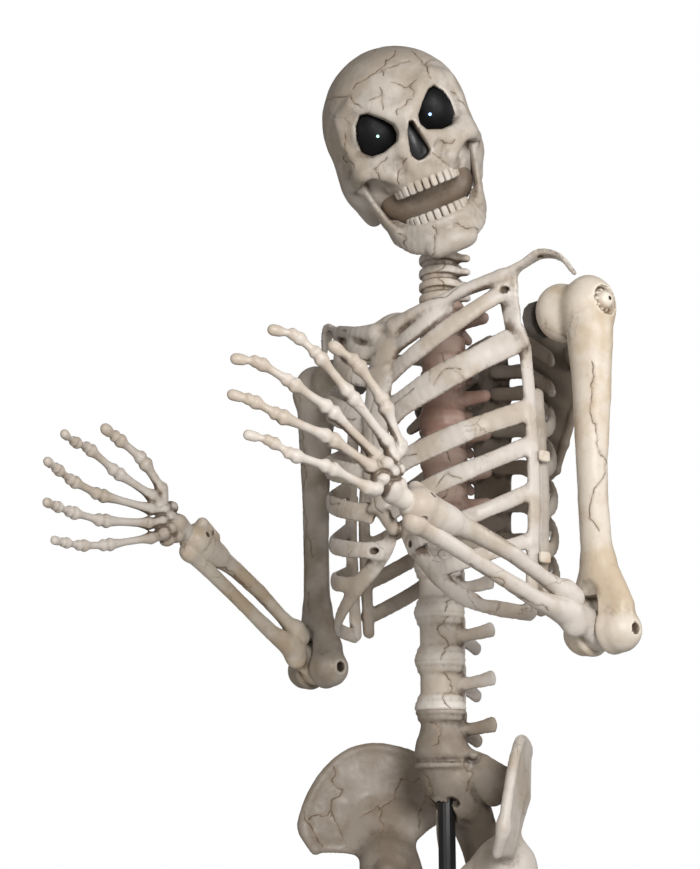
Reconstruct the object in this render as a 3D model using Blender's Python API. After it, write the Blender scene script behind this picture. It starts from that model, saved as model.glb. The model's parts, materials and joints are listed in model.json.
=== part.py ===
"""A giant poseable skeleton figure on a steel stand, 12 feet tall.

Metres, +Z up. The figure faces -Y and its left side is +X. The origin is on the
floor, under the support pole. Bones are hollow mouldings on the real figure; here
each one is a plain closed solid of its outer shape.
"""
import math

import bmesh
import bpy
from mathutils import Matrix, Vector

# ---------------------------------------------------------------- driving sizes
POLE_RADIUS = 0.016
POLE_WALL = 0.002
POLE_BREAK_Z = 1.20          # where the lower and upper tubes meet
POLE_TOP_Z = 2.60
TUBE = 0.040                 # square tube of the base
RAIL_X = 0.45
RAIL_FRONT, RAIL_BACK = -0.64, 0.50
FOOT_BAR_Y = (-0.24, 0.0)    # front and rear crossbars
GAP = 0.0004                 # between pieces that rest on each other
CLEAR = 0.002                # between pieces that move or slide together

HIP_Z, KNEE_Z, ANKLE_Z = 1.89, 1.07, 0.17
HIP_X, KNEE_X, ANKLE_X = 0.165, 0.205, 0.230

SHOULDER = Vector((0.389, 0.000, 2.913))
ELBOWS = {"left": Vector((0.378, 0.022, 2.328)), "right": Vector((-0.392, 0.005, 2.316))}
WRIST_LEFT = Vector((0.385, -0.442, 2.505))
WRIST_RIGHT = Vector((-0.285, -0.405, 2.547))

RIB_CLIP_X = {"upper": 0.2725, "lower": 0.2675}
PARTING_Y = 0.001            # half the gap between the front and back rib shells
STERNUM = ((0, -0.128, 2.955), (0, -0.150, 2.860), (0, -0.166, 2.760),
           (0, -0.150, 2.650), (0, -0.095, 2.530))
LUMBAR_DISCS = (2.485, 2.395, 2.305, 2.215, 2.135)
CHEST_DISCS = (2.62, 2.695, 2.77, 2.845, 2.92)
SPINE_SPLIT_Z = 2.565        # the lumbar moulding ends and the chest one begins
CHEST_SPINE_Y = 0.004
LUMBAR_Y = -0.012
NECK_BOTTOM_Z, NECK_TOP_Z = 3.012, 3.125
CABLE_EXIT = (-0.032, 0.006)

HEAD_TURN, HEAD_NOD, HEAD_LEAN = math.radians(55), math.radians(20), math.radians(23.5)
HEAD_CENTRE = Vector((0.026, -0.106, 3.311))
EYE_OUT, EYE_UP, EYE_FORWARD = 0.061, 0.042, 0.128
EYE_SOCKET = (0.038, 0.041, 0.055)
JAW_HINGE = (0.118, -0.045, 0.030)

BONE = ((0.62, 0.57, 0.50), 0.45, 0.0)
BLACK_STEEL = ((0.015, 0.015, 0.017), 0.30, 0.6)
BLACK_PLASTIC = ((0.02, 0.02, 0.022), 0.40, 0.0)
EYE_GLOSS = ((0.01, 0.01, 0.012), 0.08, 0.0)
ZINC = ((0.55, 0.55, 0.56), 0.35, 1.0)
CABLE = ((0.55, 0.53, 0.50), 0.5, 0.0)

SIDES = {"left": 1, "right": -1}


# ---------------------------------------------------------------- making meshes
def clear_scene():
    for old in list(bpy.data.objects):
        bpy.data.objects.remove(old)


def material(name, look):
    colour, roughness, metallic = look
    made = bpy.data.materials.get(name) or bpy.data.materials.new(name)
    made.use_nodes = True
    shader = made.node_tree.nodes["Principled BSDF"]
    shader.inputs["Base Color"].default_value = (*colour, 1)
    shader.inputs["Roughness"].default_value = roughness
    shader.inputs["Metallic"].default_value = metallic
    return made


def placed(name, bm, look):
    """A scene object made from a bmesh, smooth except at sharp edges."""
    bmesh.ops.recalc_face_normals(bm, faces=bm.faces)
    mesh = bpy.data.meshes.new(name)
    bm.to_mesh(mesh)
    bm.free()
    mesh.materials.append(material(name + "_finish", look))
    mesh.shade_smooth()
    mesh.set_sharp_from_angle(angle=math.radians(40))
    obj = bpy.data.objects.new(name, mesh)
    bpy.context.scene.collection.objects.link(obj)
    return obj


def evaluated_mesh(obj):
    graph = bpy.context.evaluated_depsgraph_get()
    return bpy.data.meshes.new_from_object(obj.evaluated_get(graph))


def bake_modifiers(obj):
    """Replaces the object's mesh with what its modifiers make of it."""
    bpy.context.view_layer.update()
    made = evaluated_mesh(obj)
    obj.modifiers.clear()
    obj.data = made
    return obj


def cut(obj, *cutters):
    """Takes the cutters, which are bmeshes, out of the object."""
    for shape in cutters:
        tool = placed(obj.name + "_cutter", shape, BONE)
        step = obj.modifiers.new("cut", "BOOLEAN")
        step.operation = "DIFFERENCE"
        step.solver = "EXACT"
        step.object = tool
        bake_modifiers(obj)
        bpy.data.objects.remove(tool)
    return obj


def clear_of(obj, neighbour, gap=CLEAR):
    """Cuts the object back so that it stays a gap away from its neighbour."""
    shape = bmesh.new()
    shape.from_mesh(neighbour.data)
    shape.normal_update()
    for vert in shape.verts:
        vert.co += vert.normal * gap
    return cut(obj, shape)


def mirrored(point, side):
    return Vector((point[0] * SIDES[side], point[1], point[2]))


# ---------------------------------------------------------------- solid shapes
def bar(points, widths, depths, across=(1, 0, 0), sides=8):
    """A swept bar with rounded ends; widths run along 'across', depths square to it."""
    points = [Vector(p) for p in points]
    bm = bmesh.new()
    rings = []
    last = len(points) - 1
    for i, point in enumerate(points):
        along = (points[min(i + 1, last)] - points[max(i - 1, 0)]).normalized()
        aim = Vector(across[i]) if isinstance(across[0], (tuple, Vector)) else Vector(across)
        wide = (aim - along * aim.dot(along)).normalized()
        deep = along.cross(wide)
        stations = [(0.0, 1.0)]
        if i == 0:
            stations = [(-0.8, 0.55), (0.0, 1.0)]
        if i == last:
            stations = [(0.0, 1.0), (0.8, 0.55)]
        for shift, scale in stations:
            centre = point + along * shift * min(widths[i], depths[i])
            rings.append([
                bm.verts.new(centre + scale * (wide * widths[i] * math.cos(turn)
                                               + deep * depths[i] * math.sin(turn)))
                for turn in (2 * math.pi * k / sides for k in range(sides))])
    for low, high in zip(rings, rings[1:]):
        for k in range(sides):
            bm.faces.new((low[k], low[(k + 1) % sides], high[(k + 1) % sides], high[k]))
    bm.faces.new(rings[0])
    bm.faces.new(rings[-1])
    bmesh.ops.recalc_face_normals(bm, faces=bm.faces)
    return bm


def rod(points, radii, sides=8):
    """A round bar whose radius follows the list."""
    along = (Vector(points[-1]) - Vector(points[0])).normalized()
    across = (1, 0, 0) if abs(along.x) < 0.9 else (0, 1, 0)
    return bar(points, radii, radii, across, sides)


def ball(centre, radii, turn=None, segments=12, rings=8):
    bm = bmesh.new()
    shape = Matrix.Diagonal((*radii, 1))
    turn = turn.to_4x4() if turn else Matrix.Identity(4)
    bmesh.ops.create_uvsphere(bm, u_segments=segments, v_segments=rings, radius=1,
                              matrix=Matrix.Translation(Vector(centre)) @ turn @ shape)
    return bm


def block(low, high):
    """A box between two corners."""
    low, high = Vector(low), Vector(high)
    bm = bmesh.new()
    bmesh.ops.create_cube(bm, size=1, matrix=Matrix.Translation((low + high) / 2)
                          @ Matrix.Diagonal((*(high - low), 1)))
    return bm


def cylinder(start, end, radius, segments=16, end_radius=None):
    start, end = Vector(start), Vector(end)
    bm = bmesh.new()
    aim = (end - start).to_track_quat("Z", "Y").to_matrix().to_4x4()
    bmesh.ops.create_cone(bm, cap_ends=True, segments=segments, radius1=radius,
                          radius2=end_radius or radius, depth=(end - start).length,
                          matrix=Matrix.Translation((start + end) / 2) @ aim)
    return bm


def joined(shapes):
    whole = bmesh.new()
    for shape in shapes:
        scrap = bpy.data.meshes.new("scrap")
        shape.to_mesh(scrap)
        shape.free()
        whole.from_mesh(scrap)
        bpy.data.meshes.remove(scrap)
    return whole


def moulding(name, shapes, voxel, triangles, smooth=2, look=BONE):
    """One moulded bone: overlapping shapes melted into a single skin, then thinned."""
    obj = placed(name, joined(shapes), look)
    melt = obj.modifiers.new("melt", "REMESH")
    melt.mode = "VOXEL"
    melt.voxel_size = voxel
    soften = obj.modifiers.new("soften", "SMOOTH")
    soften.iterations = smooth
    soften.factor = 0.5
    bake_modifiers(obj)
    full = sum(len(face.vertices) - 2 for face in obj.data.polygons)
    thin = obj.modifiers.new("thin", "DECIMATE")
    thin.ratio = min(1.0, triangles / full)
    thin.use_collapse_triangulate = True
    return bake_modifiers(obj)


def smooth_path(points, steps):
    """Points along a Catmull-Rom curve through the given ones."""
    points = [Vector(p) for p in points]
    ends = [2 * points[0] - points[1], *points, 2 * points[-1] - points[-2]]
    path = []
    for a, b, c, d in zip(ends, ends[1:], ends[2:], ends[3:]):
        for k in range(steps):
            t = k / steps
            path.append(0.5 * (2 * b + (c - a) * t + (2 * a - 5 * b + 4 * c - d) * t ** 2
                               + (3 * b - 3 * c + d - a) * t ** 3))
    return path + [points[-1]]


# ---------------------------------------------------------------- the steel stand
def tube(name, low, high, radius, wall):
    obj = placed(name, cylinder(low, high, radius), BLACK_STEEL)
    overrun = Vector((0, 0, 0.01))
    return cut(obj, cylinder(Vector(low) - overrun, Vector(high) + overrun, radius - wall))


def build_stand():
    for side, sign in SIDES.items():
        x = RAIL_X * sign
        placed("base_rail_" + side, block((x - TUBE / 2, RAIL_FRONT, 0),
                                          (x + TUBE / 2, RAIL_BACK, TUBE)), BLACK_STEEL)
    reach = RAIL_X - TUBE / 2 - GAP
    for place, y in zip(("front", "rear"), FOOT_BAR_Y):
        placed("base_crossbar_" + place, block((-reach, y - TUBE / 2, 0),
                                               (reach, y + TUBE / 2, TUBE)), BLACK_STEEL)
    socket = placed("pole_socket", cylinder((0, 0, 0.06), (0, 0, 0.20), 0.025), BLACK_STEEL)
    socket = placed_union(socket, block((-0.06, -0.04, TUBE + GAP), (0.06, 0.04, 0.064)))
    cut(socket, cylinder((0, 0, 0.07), (0, 0, 0.25), POLE_RADIUS + 0.0006))
    tube("support_pole_lower", (0, 0, 0.0705), (0, 0, POLE_BREAK_Z), POLE_RADIUS, POLE_WALL)
    tube("support_pole_upper", (0, 0, POLE_BREAK_Z + GAP), (0, 0, POLE_TOP_Z),
         POLE_RADIUS, POLE_WALL)


def placed_union(obj, shape):
    """Welds one more shape onto the object."""
    extra = placed(obj.name + "_extra", shape, BONE)
    step = obj.modifiers.new("weld", "BOOLEAN")
    step.operation = "UNION"
    step.solver = "EXACT"
    step.object = extra
    bake_modifiers(obj)
    bpy.data.objects.remove(extra)
    return obj


# ---------------------------------------------------------------- legs and hips
def build_foot(side):
    sole = TUBE + 0.001
    ankle = mirrored((ANKLE_X, 0.045, ANKLE_Z), side)
    shapes = [
        ball(ankle + Vector((0, 0, -0.045)), (0.042, 0.060, 0.045)),
        ball(ankle + Vector((0, 0.055, -0.072)), (0.034, 0.055, 0.055)),
        ball(ankle + Vector((0, -0.065, -0.060)), (0.050, 0.070, 0.040)),
    ]
    for ray in range(5):
        spread = (ray - 2) * SIDES[side]
        knuckle_y = ankle.y - 0.265 + 0.014 * abs(ray - 0.5) * 1.4
        thick = 0.019 if ray == 0 else 0.013
        x = ankle.x + spread * 0.015
        shapes.append(rod([(x, ankle.y - 0.085, sole + 0.055),
                           (x + spread * 0.006, ankle.y - 0.17, sole + 0.036),
                           (x + spread * 0.010, knuckle_y, sole + thick + 0.004)],
                          [0.020, thick * 0.85, thick * 1.25]))
        shapes.append(rod([(x + spread * 0.010, knuckle_y, sole + thick + 0.004),
                           (x + spread * 0.011, knuckle_y - 0.045, sole + thick + 0.003),
                           (x + spread * 0.011, knuckle_y - 0.090, sole + thick)],
                          [thick * 1.1, thick * 0.75, thick]))
    foot = moulding("foot_" + side, shapes, 0.0065, 430, smooth=1)
    return cut(foot, block((ankle.x - 0.2, -0.6, 0), (ankle.x + 0.2, 0.4, sole)))


def build_leg(side):
    foot = build_foot(side)
    hip = mirrored((HIP_X, 0, HIP_Z), side)
    knee = mirrored((KNEE_X, 0, KNEE_Z), side)
    ankle = mirrored((ANKLE_X, 0.045, ANKLE_Z), side)
    out = Vector((SIDES[side], 0, 0))
    femur = moulding("femur_" + side, [
        ball(hip, (0.046, 0.046, 0.046)),
        rod([hip, hip + out * 0.055 + Vector((0, 0, -0.045))], [0.026, 0.034]),
        ball(hip + out * 0.075 + Vector((0, 0.010, -0.020)), (0.030, 0.036, 0.042)),
        rod(smooth_path([hip + out * 0.058 + Vector((0, 0, -0.06)),
                         hip.lerp(knee, 0.35) + out * 0.028 + Vector((0, -0.022, 0)),
                         hip.lerp(knee, 0.70) + out * 0.008 + Vector((0, -0.018, 0)),
                         knee + Vector((0, 0, 0.08))], 2),
            [0.042, 0.034, 0.030, 0.029, 0.029, 0.032, 0.042]),
        ball(knee + out * 0.028 + Vector((0, 0.010, 0.045)), (0.032, 0.052, 0.042)),
        ball(knee - out * 0.028 + Vector((0, 0.010, 0.045)), (0.032, 0.052, 0.042)),
    ], 0.010, 240)
    shin = moulding("shin_" + side, [
        ball(knee + Vector((0, 0.008, -0.035)), (0.060, 0.050, 0.032)),
        ball(knee + Vector((0, -0.072, 0.028)), (0.028, 0.020, 0.034)),
        rod([knee + Vector((0, -0.068, 0.02)), knee + Vector((0, -0.045, -0.06))], [0.014, 0.018]),
        rod([knee + Vector((0, 0, -0.05)), knee + Vector((0, -0.012, -0.16)),
             knee.lerp(ankle, 0.55), ankle + Vector((0, -0.01, 0.09)),
             ankle + Vector((0, -0.01, 0.035))],
            [0.048, 0.034, 0.027, 0.028, 0.040]),
        rod([knee + out * 0.050 + Vector((0, 0.030, -0.05)),
             knee.lerp(ankle, 0.5) + out * 0.056 + Vector((0, 0.018, 0)),
             ankle + out * 0.034 + Vector((0, 0, 0.015))],
            [0.019, 0.012, 0.019]),
    ], 0.010, 320)
    clear_of(shin, femur)
    clear_of(shin, foot)
    return femur


def build_hip_bone(side, spine):
    socket = mirrored((0.155, -0.005, 1.925), side)
    crest = [(0.075, 0.090, 2.030), (0.095, 0.094, 2.090), (0.150, 0.064, 2.130),
             (0.200, 0.000, 2.150), (0.240, -0.055, 2.130), (0.266, -0.100, 2.070),
             (0.273, -0.124, 2.000), (0.246, -0.114, 1.955)]
    shapes = [ball(socket, (0.058, 0.062, 0.062))]
    rim = [mirrored(p, side) for p in crest]
    for near, far in zip(rim, rim[1:]):
        middle = (near + far) / 2
        run = (far - near).normalized()
        wide = (far - near).length * 0.62
        shapes.append(bar([socket + Vector((0, 0, 0.02)), socket.lerp(middle, 0.5), middle],
                          [0.040, wide * 0.8, wide], [0.022, 0.012, 0.013], run))
    shapes.append(rod(rim, [0.013] * len(rim), sides=6))
    front = mirrored((0.018, -0.125, 1.845), side)
    seat = mirrored((0.110, 0.035, 1.745), side)
    shapes += [
        rod([socket, mirrored((0.095, -0.085, 1.895), side), front], [0.035, 0.019, 0.026]),
        rod([socket, mirrored((0.140, 0.045, 1.830), side), seat], [0.045, 0.026, 0.030]),
        rod([seat, mirrored((0.075, -0.045, 1.765), side), front], [0.026, 0.016, 0.022]),
    ]
    hip = moulding("hip_bone_" + side, shapes, 0.0085, 480)
    inner, far = -0.3 * SIDES[side], 0.001 * SIDES[side]
    cut(hip, block((min(inner, far), -0.5, 1.5), (max(inner, far), 0.5, 2.4)))
    clear_of(hip, spine)
    return hip


# ---------------------------------------------------------------- spine and neck
def vertebra_column(discs, low, high, radius, y, step):
    """A column that swells at each disc."""
    points, radii = [], []
    levels = [low]
    for z in discs:
        levels += [z - step, z, z + step]
    levels.append(high)
    for z in levels:
        on_disc = any(abs(z - d) < 1e-6 for d in discs)
        points.append((0, y, z))
        radii.append(radius * (1.10 if on_disc else 0.97))
    return rod(points, radii, sides=12)


def spine_spurs(levels, reach, back, rise, y, thick, rear=0.095):
    """Side and rear processes of each vertebra."""
    shapes = []
    for z in levels:
        for sign in (1, -1):
            shapes.append(rod([(0, y, z), (reach * sign, y + back, z + rise)],
                              [thick * 1.3, thick]))
        shapes.append(rod([(0, y + 0.03, z), (0, y + rear, z - 0.02)], [thick * 1.4, thick]))
    return shapes


def build_spine():
    bodies = [z + 0.045 for z in LUMBAR_DISCS]
    lower = [
        vertebra_column(LUMBAR_DISCS[:-1], 2.10, SPINE_SPLIT_Z - CLEAR, 0.050, LUMBAR_Y, 0.014),
        *spine_spurs(bodies[1:], 0.084, 0.048, 0.008, LUMBAR_Y, 0.012),
        bar([(0, 0.000, 2.175), (0, -0.004, 2.135), (0, 0.006, 2.085), (0, 0.030, 2.040)],
            [0.058, 0.064, 0.076, 0.064], [0.050, 0.052, 0.046, 0.034]),
        ball((0.072, 0.034, 2.080), (0.030, 0.036, 0.040)),
        ball((-0.072, 0.034, 2.080), (0.030, 0.036, 0.040)),
        bar([(0, 0.040, 2.05), (0, 0.075, 1.985), (0, 0.085, 1.920), (0, 0.065, 1.865)],
            [0.068, 0.052, 0.034, 0.014], [0.028, 0.020, 0.016, 0.010]),
    ]
    lower = moulding("spine_lower", lower, 0.008, 720)
    upper = [
        vertebra_column(CHEST_DISCS, SPINE_SPLIT_Z + CLEAR, NECK_BOTTOM_Z - CLEAR, 0.047,
                        CHEST_SPINE_Y, 0.013),
        *spine_spurs([z + 0.037 for z in CHEST_DISCS] + [2.585], 0.082, 0.030, 0.004,
                     CHEST_SPINE_Y, 0.012, rear=0.078),
    ]
    upper = moulding("spine_upper", upper, 0.008, 500)
    bore = POLE_RADIUS + CLEAR
    cut(lower, cylinder((0, 0, 1.9), (0, 0, 2.7), bore),
        cylinder((*CABLE_EXIT, 1.9), (*CABLE_EXIT, 2.034), 0.004, 10),
        block((-0.2, -0.2, SPINE_SPLIT_Z - GAP), (0.2, 0.3, 2.8)))
    cut(upper, cylinder((0, 0, 2.5), (0, 0, POLE_TOP_Z + CLEAR), bore),
        block((-0.2, -0.2, 2.3), (0.2, 0.3, SPINE_SPLIT_Z + GAP)),
        block((-0.2, -0.2, NECK_BOTTOM_Z - GAP), (0.2, 0.3, 3.2)))
    return lower, upper


def build_neck():
    discs = (3.030, 3.058, 3.086, 3.112)
    neck = moulding("neck", [
        vertebra_column(discs, NECK_BOTTOM_Z, NECK_TOP_Z - 0.004, 0.042, 0, 0.008),
        *spine_spurs(discs[:3], 0.048, 0.028, -0.004, 0, 0.009),
    ], 0.006, 320, smooth=1)
    cut(neck, block((-0.2, -0.2, 2.9), (0.2, 0.3, NECK_BOTTOM_Z + GAP)),
        block((-0.2, -0.2, NECK_TOP_Z), (0.2, 0.3, 3.3)))
    return neck


# ---------------------------------------------------------------- rib cage
FRONT_RIBS = (   # breastbone end, points round the chest to the side, then half height
    ((0.030, -0.140, 2.885), (0.090, -0.145, 2.905), (0.135, -0.120, 2.945), 0.017),
    ((0.035, -0.152, 2.835), (0.120, -0.150, 2.870), (0.185, -0.115, 2.925),
     (0.240, -0.060, 2.965), 0.016),
    ((0.040, -0.160, 2.755), (0.125, -0.158, 2.785), (0.200, -0.122, 2.820),
     (0.246, -0.050, 2.868), 0.027),
    ((0.040, -0.160, 2.645), (0.125, -0.158, 2.668), (0.208, -0.116, 2.700),
     (0.256, -0.020, 2.743), 0.021),
    ((0.038, -0.150, 2.575), (0.130, -0.152, 2.597), (0.208, -0.112, 2.630),
     (0.260, -0.020, 2.677), 0.018),
    ((0.048, -0.122, 2.510), (0.128, -0.142, 2.518), (0.205, -0.108, 2.545),
     (0.260, -0.020, 2.591), 0.017),
    ((0.110, -0.122, 2.450), (0.165, -0.124, 2.458), (0.218, -0.094, 2.475),
     (0.256, -0.020, 2.502), 0.015),
)
COSTAL_ARCH = ((0.012, -0.100, 2.545), (0.058, -0.112, 2.495), (0.112, -0.120, 2.445),
               (0.168, -0.115, 2.400), (0.218, -0.080, 2.378), (0.244, -0.020, 2.372))
BACK_RIB_TOPS = (2.945, 2.885, 2.84, 2.765, 2.69, 2.615, 2.545)


def rib(points, half_height, half_depth=0.0085):
    """A flat rib on the wall of the chest: wide up and down, thin through the wall."""
    path = smooth_path(points, 2)
    return bar(path, [half_height] * len(path), [half_depth] * len(path), (0, 0, 1), sides=6)


def build_rib_front(spines, sockets):
    shapes = [bar(STERNUM, [0.046, 0.040, 0.042, 0.040, 0.024], [0.012] * 5)]
    for side in SIDES:
        for *points, height in FRONT_RIBS:
            shapes.append(rib([mirrored(p, side) for p in points], height))
        arch = [mirrored(p, side) for p in COSTAL_ARCH]
        shapes.append(bar(arch, [0.018] * 6, [0.0095] * 6, (0, 0, 1), sides=6))
        flange = [mirrored((x, -0.014, z), side) for x, z in
                  ((0.246, 2.868), (0.254, 2.760), (0.259, 2.580), (0.244, 2.372))]
        shapes.append(bar(flange, [0.016] * 4, [0.009] * 4, (0, 1, 0), sides=6))
        clavicle = smooth_path([mirrored(p, side) for p in (
            (0.020, -0.140, 2.925), (0.095, -0.132, 2.948), (0.170, -0.100, 2.975),
            (0.244, -0.058, 3.000), (0.305, -0.030, 3.020), (0.335, -0.006, 3.012))], 2)
        shapes.append(rod(clavicle, [0.020, 0.018, 0.015, 0.014, 0.014, 0.015, 0.018, 0.017,
                                     0.015, 0.015, 0.014], sides=6))
        plate = [mirrored(p, side) for p in ((0.242, -0.052, 2.990), (0.246, -0.044, 2.930),
                                              (0.250, -0.034, 2.865))]
        shapes.append(bar(plate, [0.018, 0.017, 0.020], [0.012] * 3, (1, 0.3, 0), sides=8))
    front = moulding("rib_cage_front", shapes, 0.0075, 1900, smooth=1)
    cut(front, block((-0.5, -PARTING_Y, 2.2), (0.5, 0.5, 3.3)))
    for neighbour in (*spines, *sockets):
        clear_of(front, neighbour)
    return front


def build_rib_back(spines, sockets):
    shapes = []
    for side in SIDES:
        for z in BACK_RIB_TOPS:
            drop = 0.135
            if z > 2.85:
                shapes.append(rib([mirrored(p, side) for p in (
                    (0.030, 0.124, z), (0.105, 0.128, z - 0.012), (0.178, 0.114, z - 0.060),
                    (0.205, 0.098, z - 0.080))], 0.016))
                continue
            shapes.append(rib([mirrored(p, side) for p in (
                (0.030, 0.124, z), (0.105, 0.128, z - 0.012), (0.178, 0.114, z - drop * 0.5),
                (0.232, 0.062, z - drop * 0.82), (0.250, 0.014, z - drop))], 0.017))
        flange = [mirrored((x, 0.014, z), side) for x, z in
                  ((0.246, 2.780), (0.250, 2.680), (0.253, 2.580), (0.240, 2.378))]
        shapes.append(bar(flange, [0.016] * 4, [0.009] * 4, (0, 1, 0), sides=6))
    keel = bar([(0, 0.134, 2.965), (0, 0.138, 2.780), (0, 0.134, 2.535)],
               [0.062, 0.064, 0.060], [0.012] * 3)
    back = moulding("rib_cage_back", shapes + [keel], 0.0075, 1400, smooth=1)
    cut(back, block((-0.5, -0.5, 2.2), (0.5, PARTING_Y, 3.3)))
    for neighbour in (*spines, *sockets):
        clear_of(back, neighbour)
    return back


def build_rib_clips():
    for side, sign in SIDES.items():
        for level, z in (("upper", 2.655), ("lower", 2.470)):
            x = RIB_CLIP_X[level] * sign
            placed(f"rib_clip_{level}_{side}", block((x - 0.004, -0.014, z - 0.011),
                                                     (x + 0.004, 0.014, z + 0.011)), BONE)


def build_scapula(side, back):
    corners = [mirrored(p, side) for p in (
        (0.075, 0.156, 2.955), (0.222, 0.138, 2.910), (0.220, 0.134, 2.862),
        (0.170, 0.152, 2.820), (0.158, 0.156, 2.665), (0.122, 0.158, 2.675))]
    middle = sum(corners, Vector()) / len(corners)
    shapes = []
    for near, far in zip(corners, corners[1:] + corners[:1]):
        edge = (near + far) / 2
        shapes.append(bar([middle, edge], [0.03, (far - near).length * 0.55], [0.008, 0.008],
                          (far - near).normalized()))
    spine_line = smooth_path([mirrored(p, side) for p in (
        (0.085, 0.164, 2.930), (0.180, 0.154, 2.965), (0.275, 0.115, 2.992),
        (0.345, 0.058, 3.002), (0.352, 0.014, 3.004))], 2)
    shapes.append(rod(spine_line, [0.010] * 4 + [0.013] * 5, sides=6))
    blade = moulding("scapula_" + side, shapes, 0.0065, 260, smooth=1)
    cut(blade, block((-0.5, -0.5, 2.2), (0.5, PARTING_Y, 3.3)))
    clear_of(blade, back)
    return blade


# ---------------------------------------------------------------- arms
def arm_points(side):
    shoulder, elbow = mirrored(SHOULDER, side), ELBOWS[side]
    wrist = WRIST_LEFT if side == "left" else WRIST_RIGHT
    return shoulder, elbow, wrist


def build_shoulder(side):
    shoulder, _, _ = arm_points(side)
    out = Vector((SIDES[side], 0, 0))
    inner = shoulder - out * 0.128
    socket = placed("shoulder_block_" + side,
                    cylinder(inner, inner + out * 0.020, 0.036, 12), BLACK_PLASTIC)
    head = shoulder + out * 0.042
    axle = placed("shoulder_axle_" + side, cylinder(inner + out * (0.020 + GAP), head, 0.010),
                  BLACK_PLASTIC)
    placed_union(axle, cylinder(head - out * 0.003, head + out * 0.008, 0.021, 16))
    return socket


def build_upper_arm(side):
    shoulder, elbow, _ = arm_points(side)
    out = Vector((SIDES[side], 0, 0))
    down = (elbow - shoulder).normalized()
    length = (elbow - shoulder).length
    shapes = [
        ball(shoulder - out * 0.058, (0.048, 0.054, 0.054)),
        rod([shoulder - out * 0.050, shoulder + out * 0.004], [0.044, 0.046]),
        ball(shoulder + out * 0.006, (0.040, 0.046, 0.052)),
        rod([shoulder + down * k * length for k in (0.0, 0.10, 0.30, 0.60, 0.82, 0.93)],
            [0.046, 0.040, 0.031, 0.028, 0.030, 0.030], sides=10),
        bar([elbow - down * 0.085, elbow - down * 0.025, elbow], [0.036, 0.054, 0.056],
            [0.026, 0.033, 0.036], (1, 0, 0), sides=10),
        cylinder(elbow - out * 0.056, elbow + out * 0.056, 0.042, 14),
    ]
    arm = moulding("upper_arm_" + side, shapes, 0.0085, 420)
    face = shoulder + out * 0.038
    cut(arm,
        cylinder(shoulder - out * 0.16, shoulder + out * 0.08, 0.0115, 18),
        cylinder(face, face + out * 0.06, 0.024, 18),
        cylinder(elbow - out * 0.0175, elbow + out * 0.0175, 0.064, 24),
        cylinder(elbow - out * 0.12, elbow + out * 0.12, 0.0075, 12))
    return arm


def build_forearm(side):
    _, elbow, wrist = arm_points(side)
    out = Vector((SIDES[side], 0, 0))
    line = wrist - elbow
    lift = line.cross(out).normalized() * SIDES[side]
    ahead = line.normalized()
    start = elbow + (ahead - out * ahead.dot(out)).normalized() * 0.064
    ulna = moulding("ulna_" + side, [
        cylinder(elbow - out * 0.0145, elbow + out * 0.0145, 0.034, 16),
        bar([elbow, start, elbow + ahead * 0.105], [0.0135, 0.0130, 0.020],
            [0.028, 0.025, 0.024], out, sides=8),
        rod([elbow + ahead * 0.092 - lift * 0.008, elbow.lerp(wrist, 0.45) - lift * 0.020,
             elbow.lerp(wrist, 0.90) - lift * 0.026, wrist - lift * 0.026 - ahead * 0.034],
            [0.025, 0.017, 0.016, 0.021]),
    ], 0.006, 230, smooth=1)
    cut(ulna, cylinder(elbow - out * 0.1, elbow + out * 0.1, 0.0075, 12))
    radius = moulding("radius_" + side, [
        rod([elbow + ahead * 0.092 + lift * 0.022, elbow + ahead * 0.108 + lift * 0.024,
             elbow + ahead * 0.150 + lift * 0.024, elbow.lerp(wrist, 0.55) + lift * 0.024,
             elbow.lerp(wrist, 0.80) + lift * 0.018, wrist - ahead * 0.072 + lift * 0.010,
             wrist - ahead * 0.048 + lift * 0.006],
            [0.024, 0.022, 0.016, 0.017, 0.021, 0.032, 0.036]),
    ], 0.006, 190, smooth=1)
    cut(radius, cylinder(wrist - ahead * 0.05, wrist + ahead * 0.05, 0.0105, 14))
    clear_of(ulna, radius)
    cut(ulna, cylinder(wrist - ahead * 0.08, wrist + ahead * 0.05, 0.0105, 14))
    placed("elbow_pin_" + side, cylinder(elbow - out * 0.058, elbow + out * 0.058, 0.006, 12),
           ZINC)


# Each digit: where its root lies in the palm (along, towards the thumb), then for each
# bone its length, how steeply it rises and how far it curls towards the palm, in degrees.
PALM_RISE = {"left": math.radians(40), "right": math.radians(5)}
DIGITS = {
    "left": {
        "thumb": ((0.053, 0.058), ((0.080, 64, 4), (0.078, 50, 8), (0.045, 29, 14))),
        "index": ((0.075, 0.045), ((0.106, 41, 0), (0.081, 42, 5), (0.045, 38, 18), (0.038, 8, 24))),
        "middle": ((0.076, 0.012), ((0.118, 33, 0), (0.078, 24, 5), (0.058, 26, 14), (0.036, 2, 26))),
        "ring": ((0.073, -0.010), ((0.096, 22, 0), (0.092, 13, 5), (0.048, 24, 18), (0.034, 12, 26))),
        "little": ((0.057, -0.038), ((0.086, 16, 0), (0.068, 9, 6), (0.038, 28, 20), (0.034, 12, 26))),
    },
    "right": {
        "thumb": ((0.057, 0.060), ((0.074, 48, 3), (0.070, 27, 6), (0.042, 19, 16))),
        "index": ((0.075, 0.048), ((0.097, 23, 2), (0.077, 25, 12), (0.052, 4, 36), (0.040, 8, 44))),
        "middle": ((0.076, 0.026), ((0.118, 6, 2), (0.072, 13, 14), (0.052, 12, 34), (0.038, 10, 40))),
        "ring": ((0.076, -0.002), ((0.108, -4, 2), (0.072, 4, 14), (0.050, 2, 34), (0.036, 0, 40))),
        "little": ((0.068, -0.026), ((0.100, -14, 2), (0.060, -8, 12), (0.040, -4, 26), (0.034, -2, 32))),
    },
}
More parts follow.
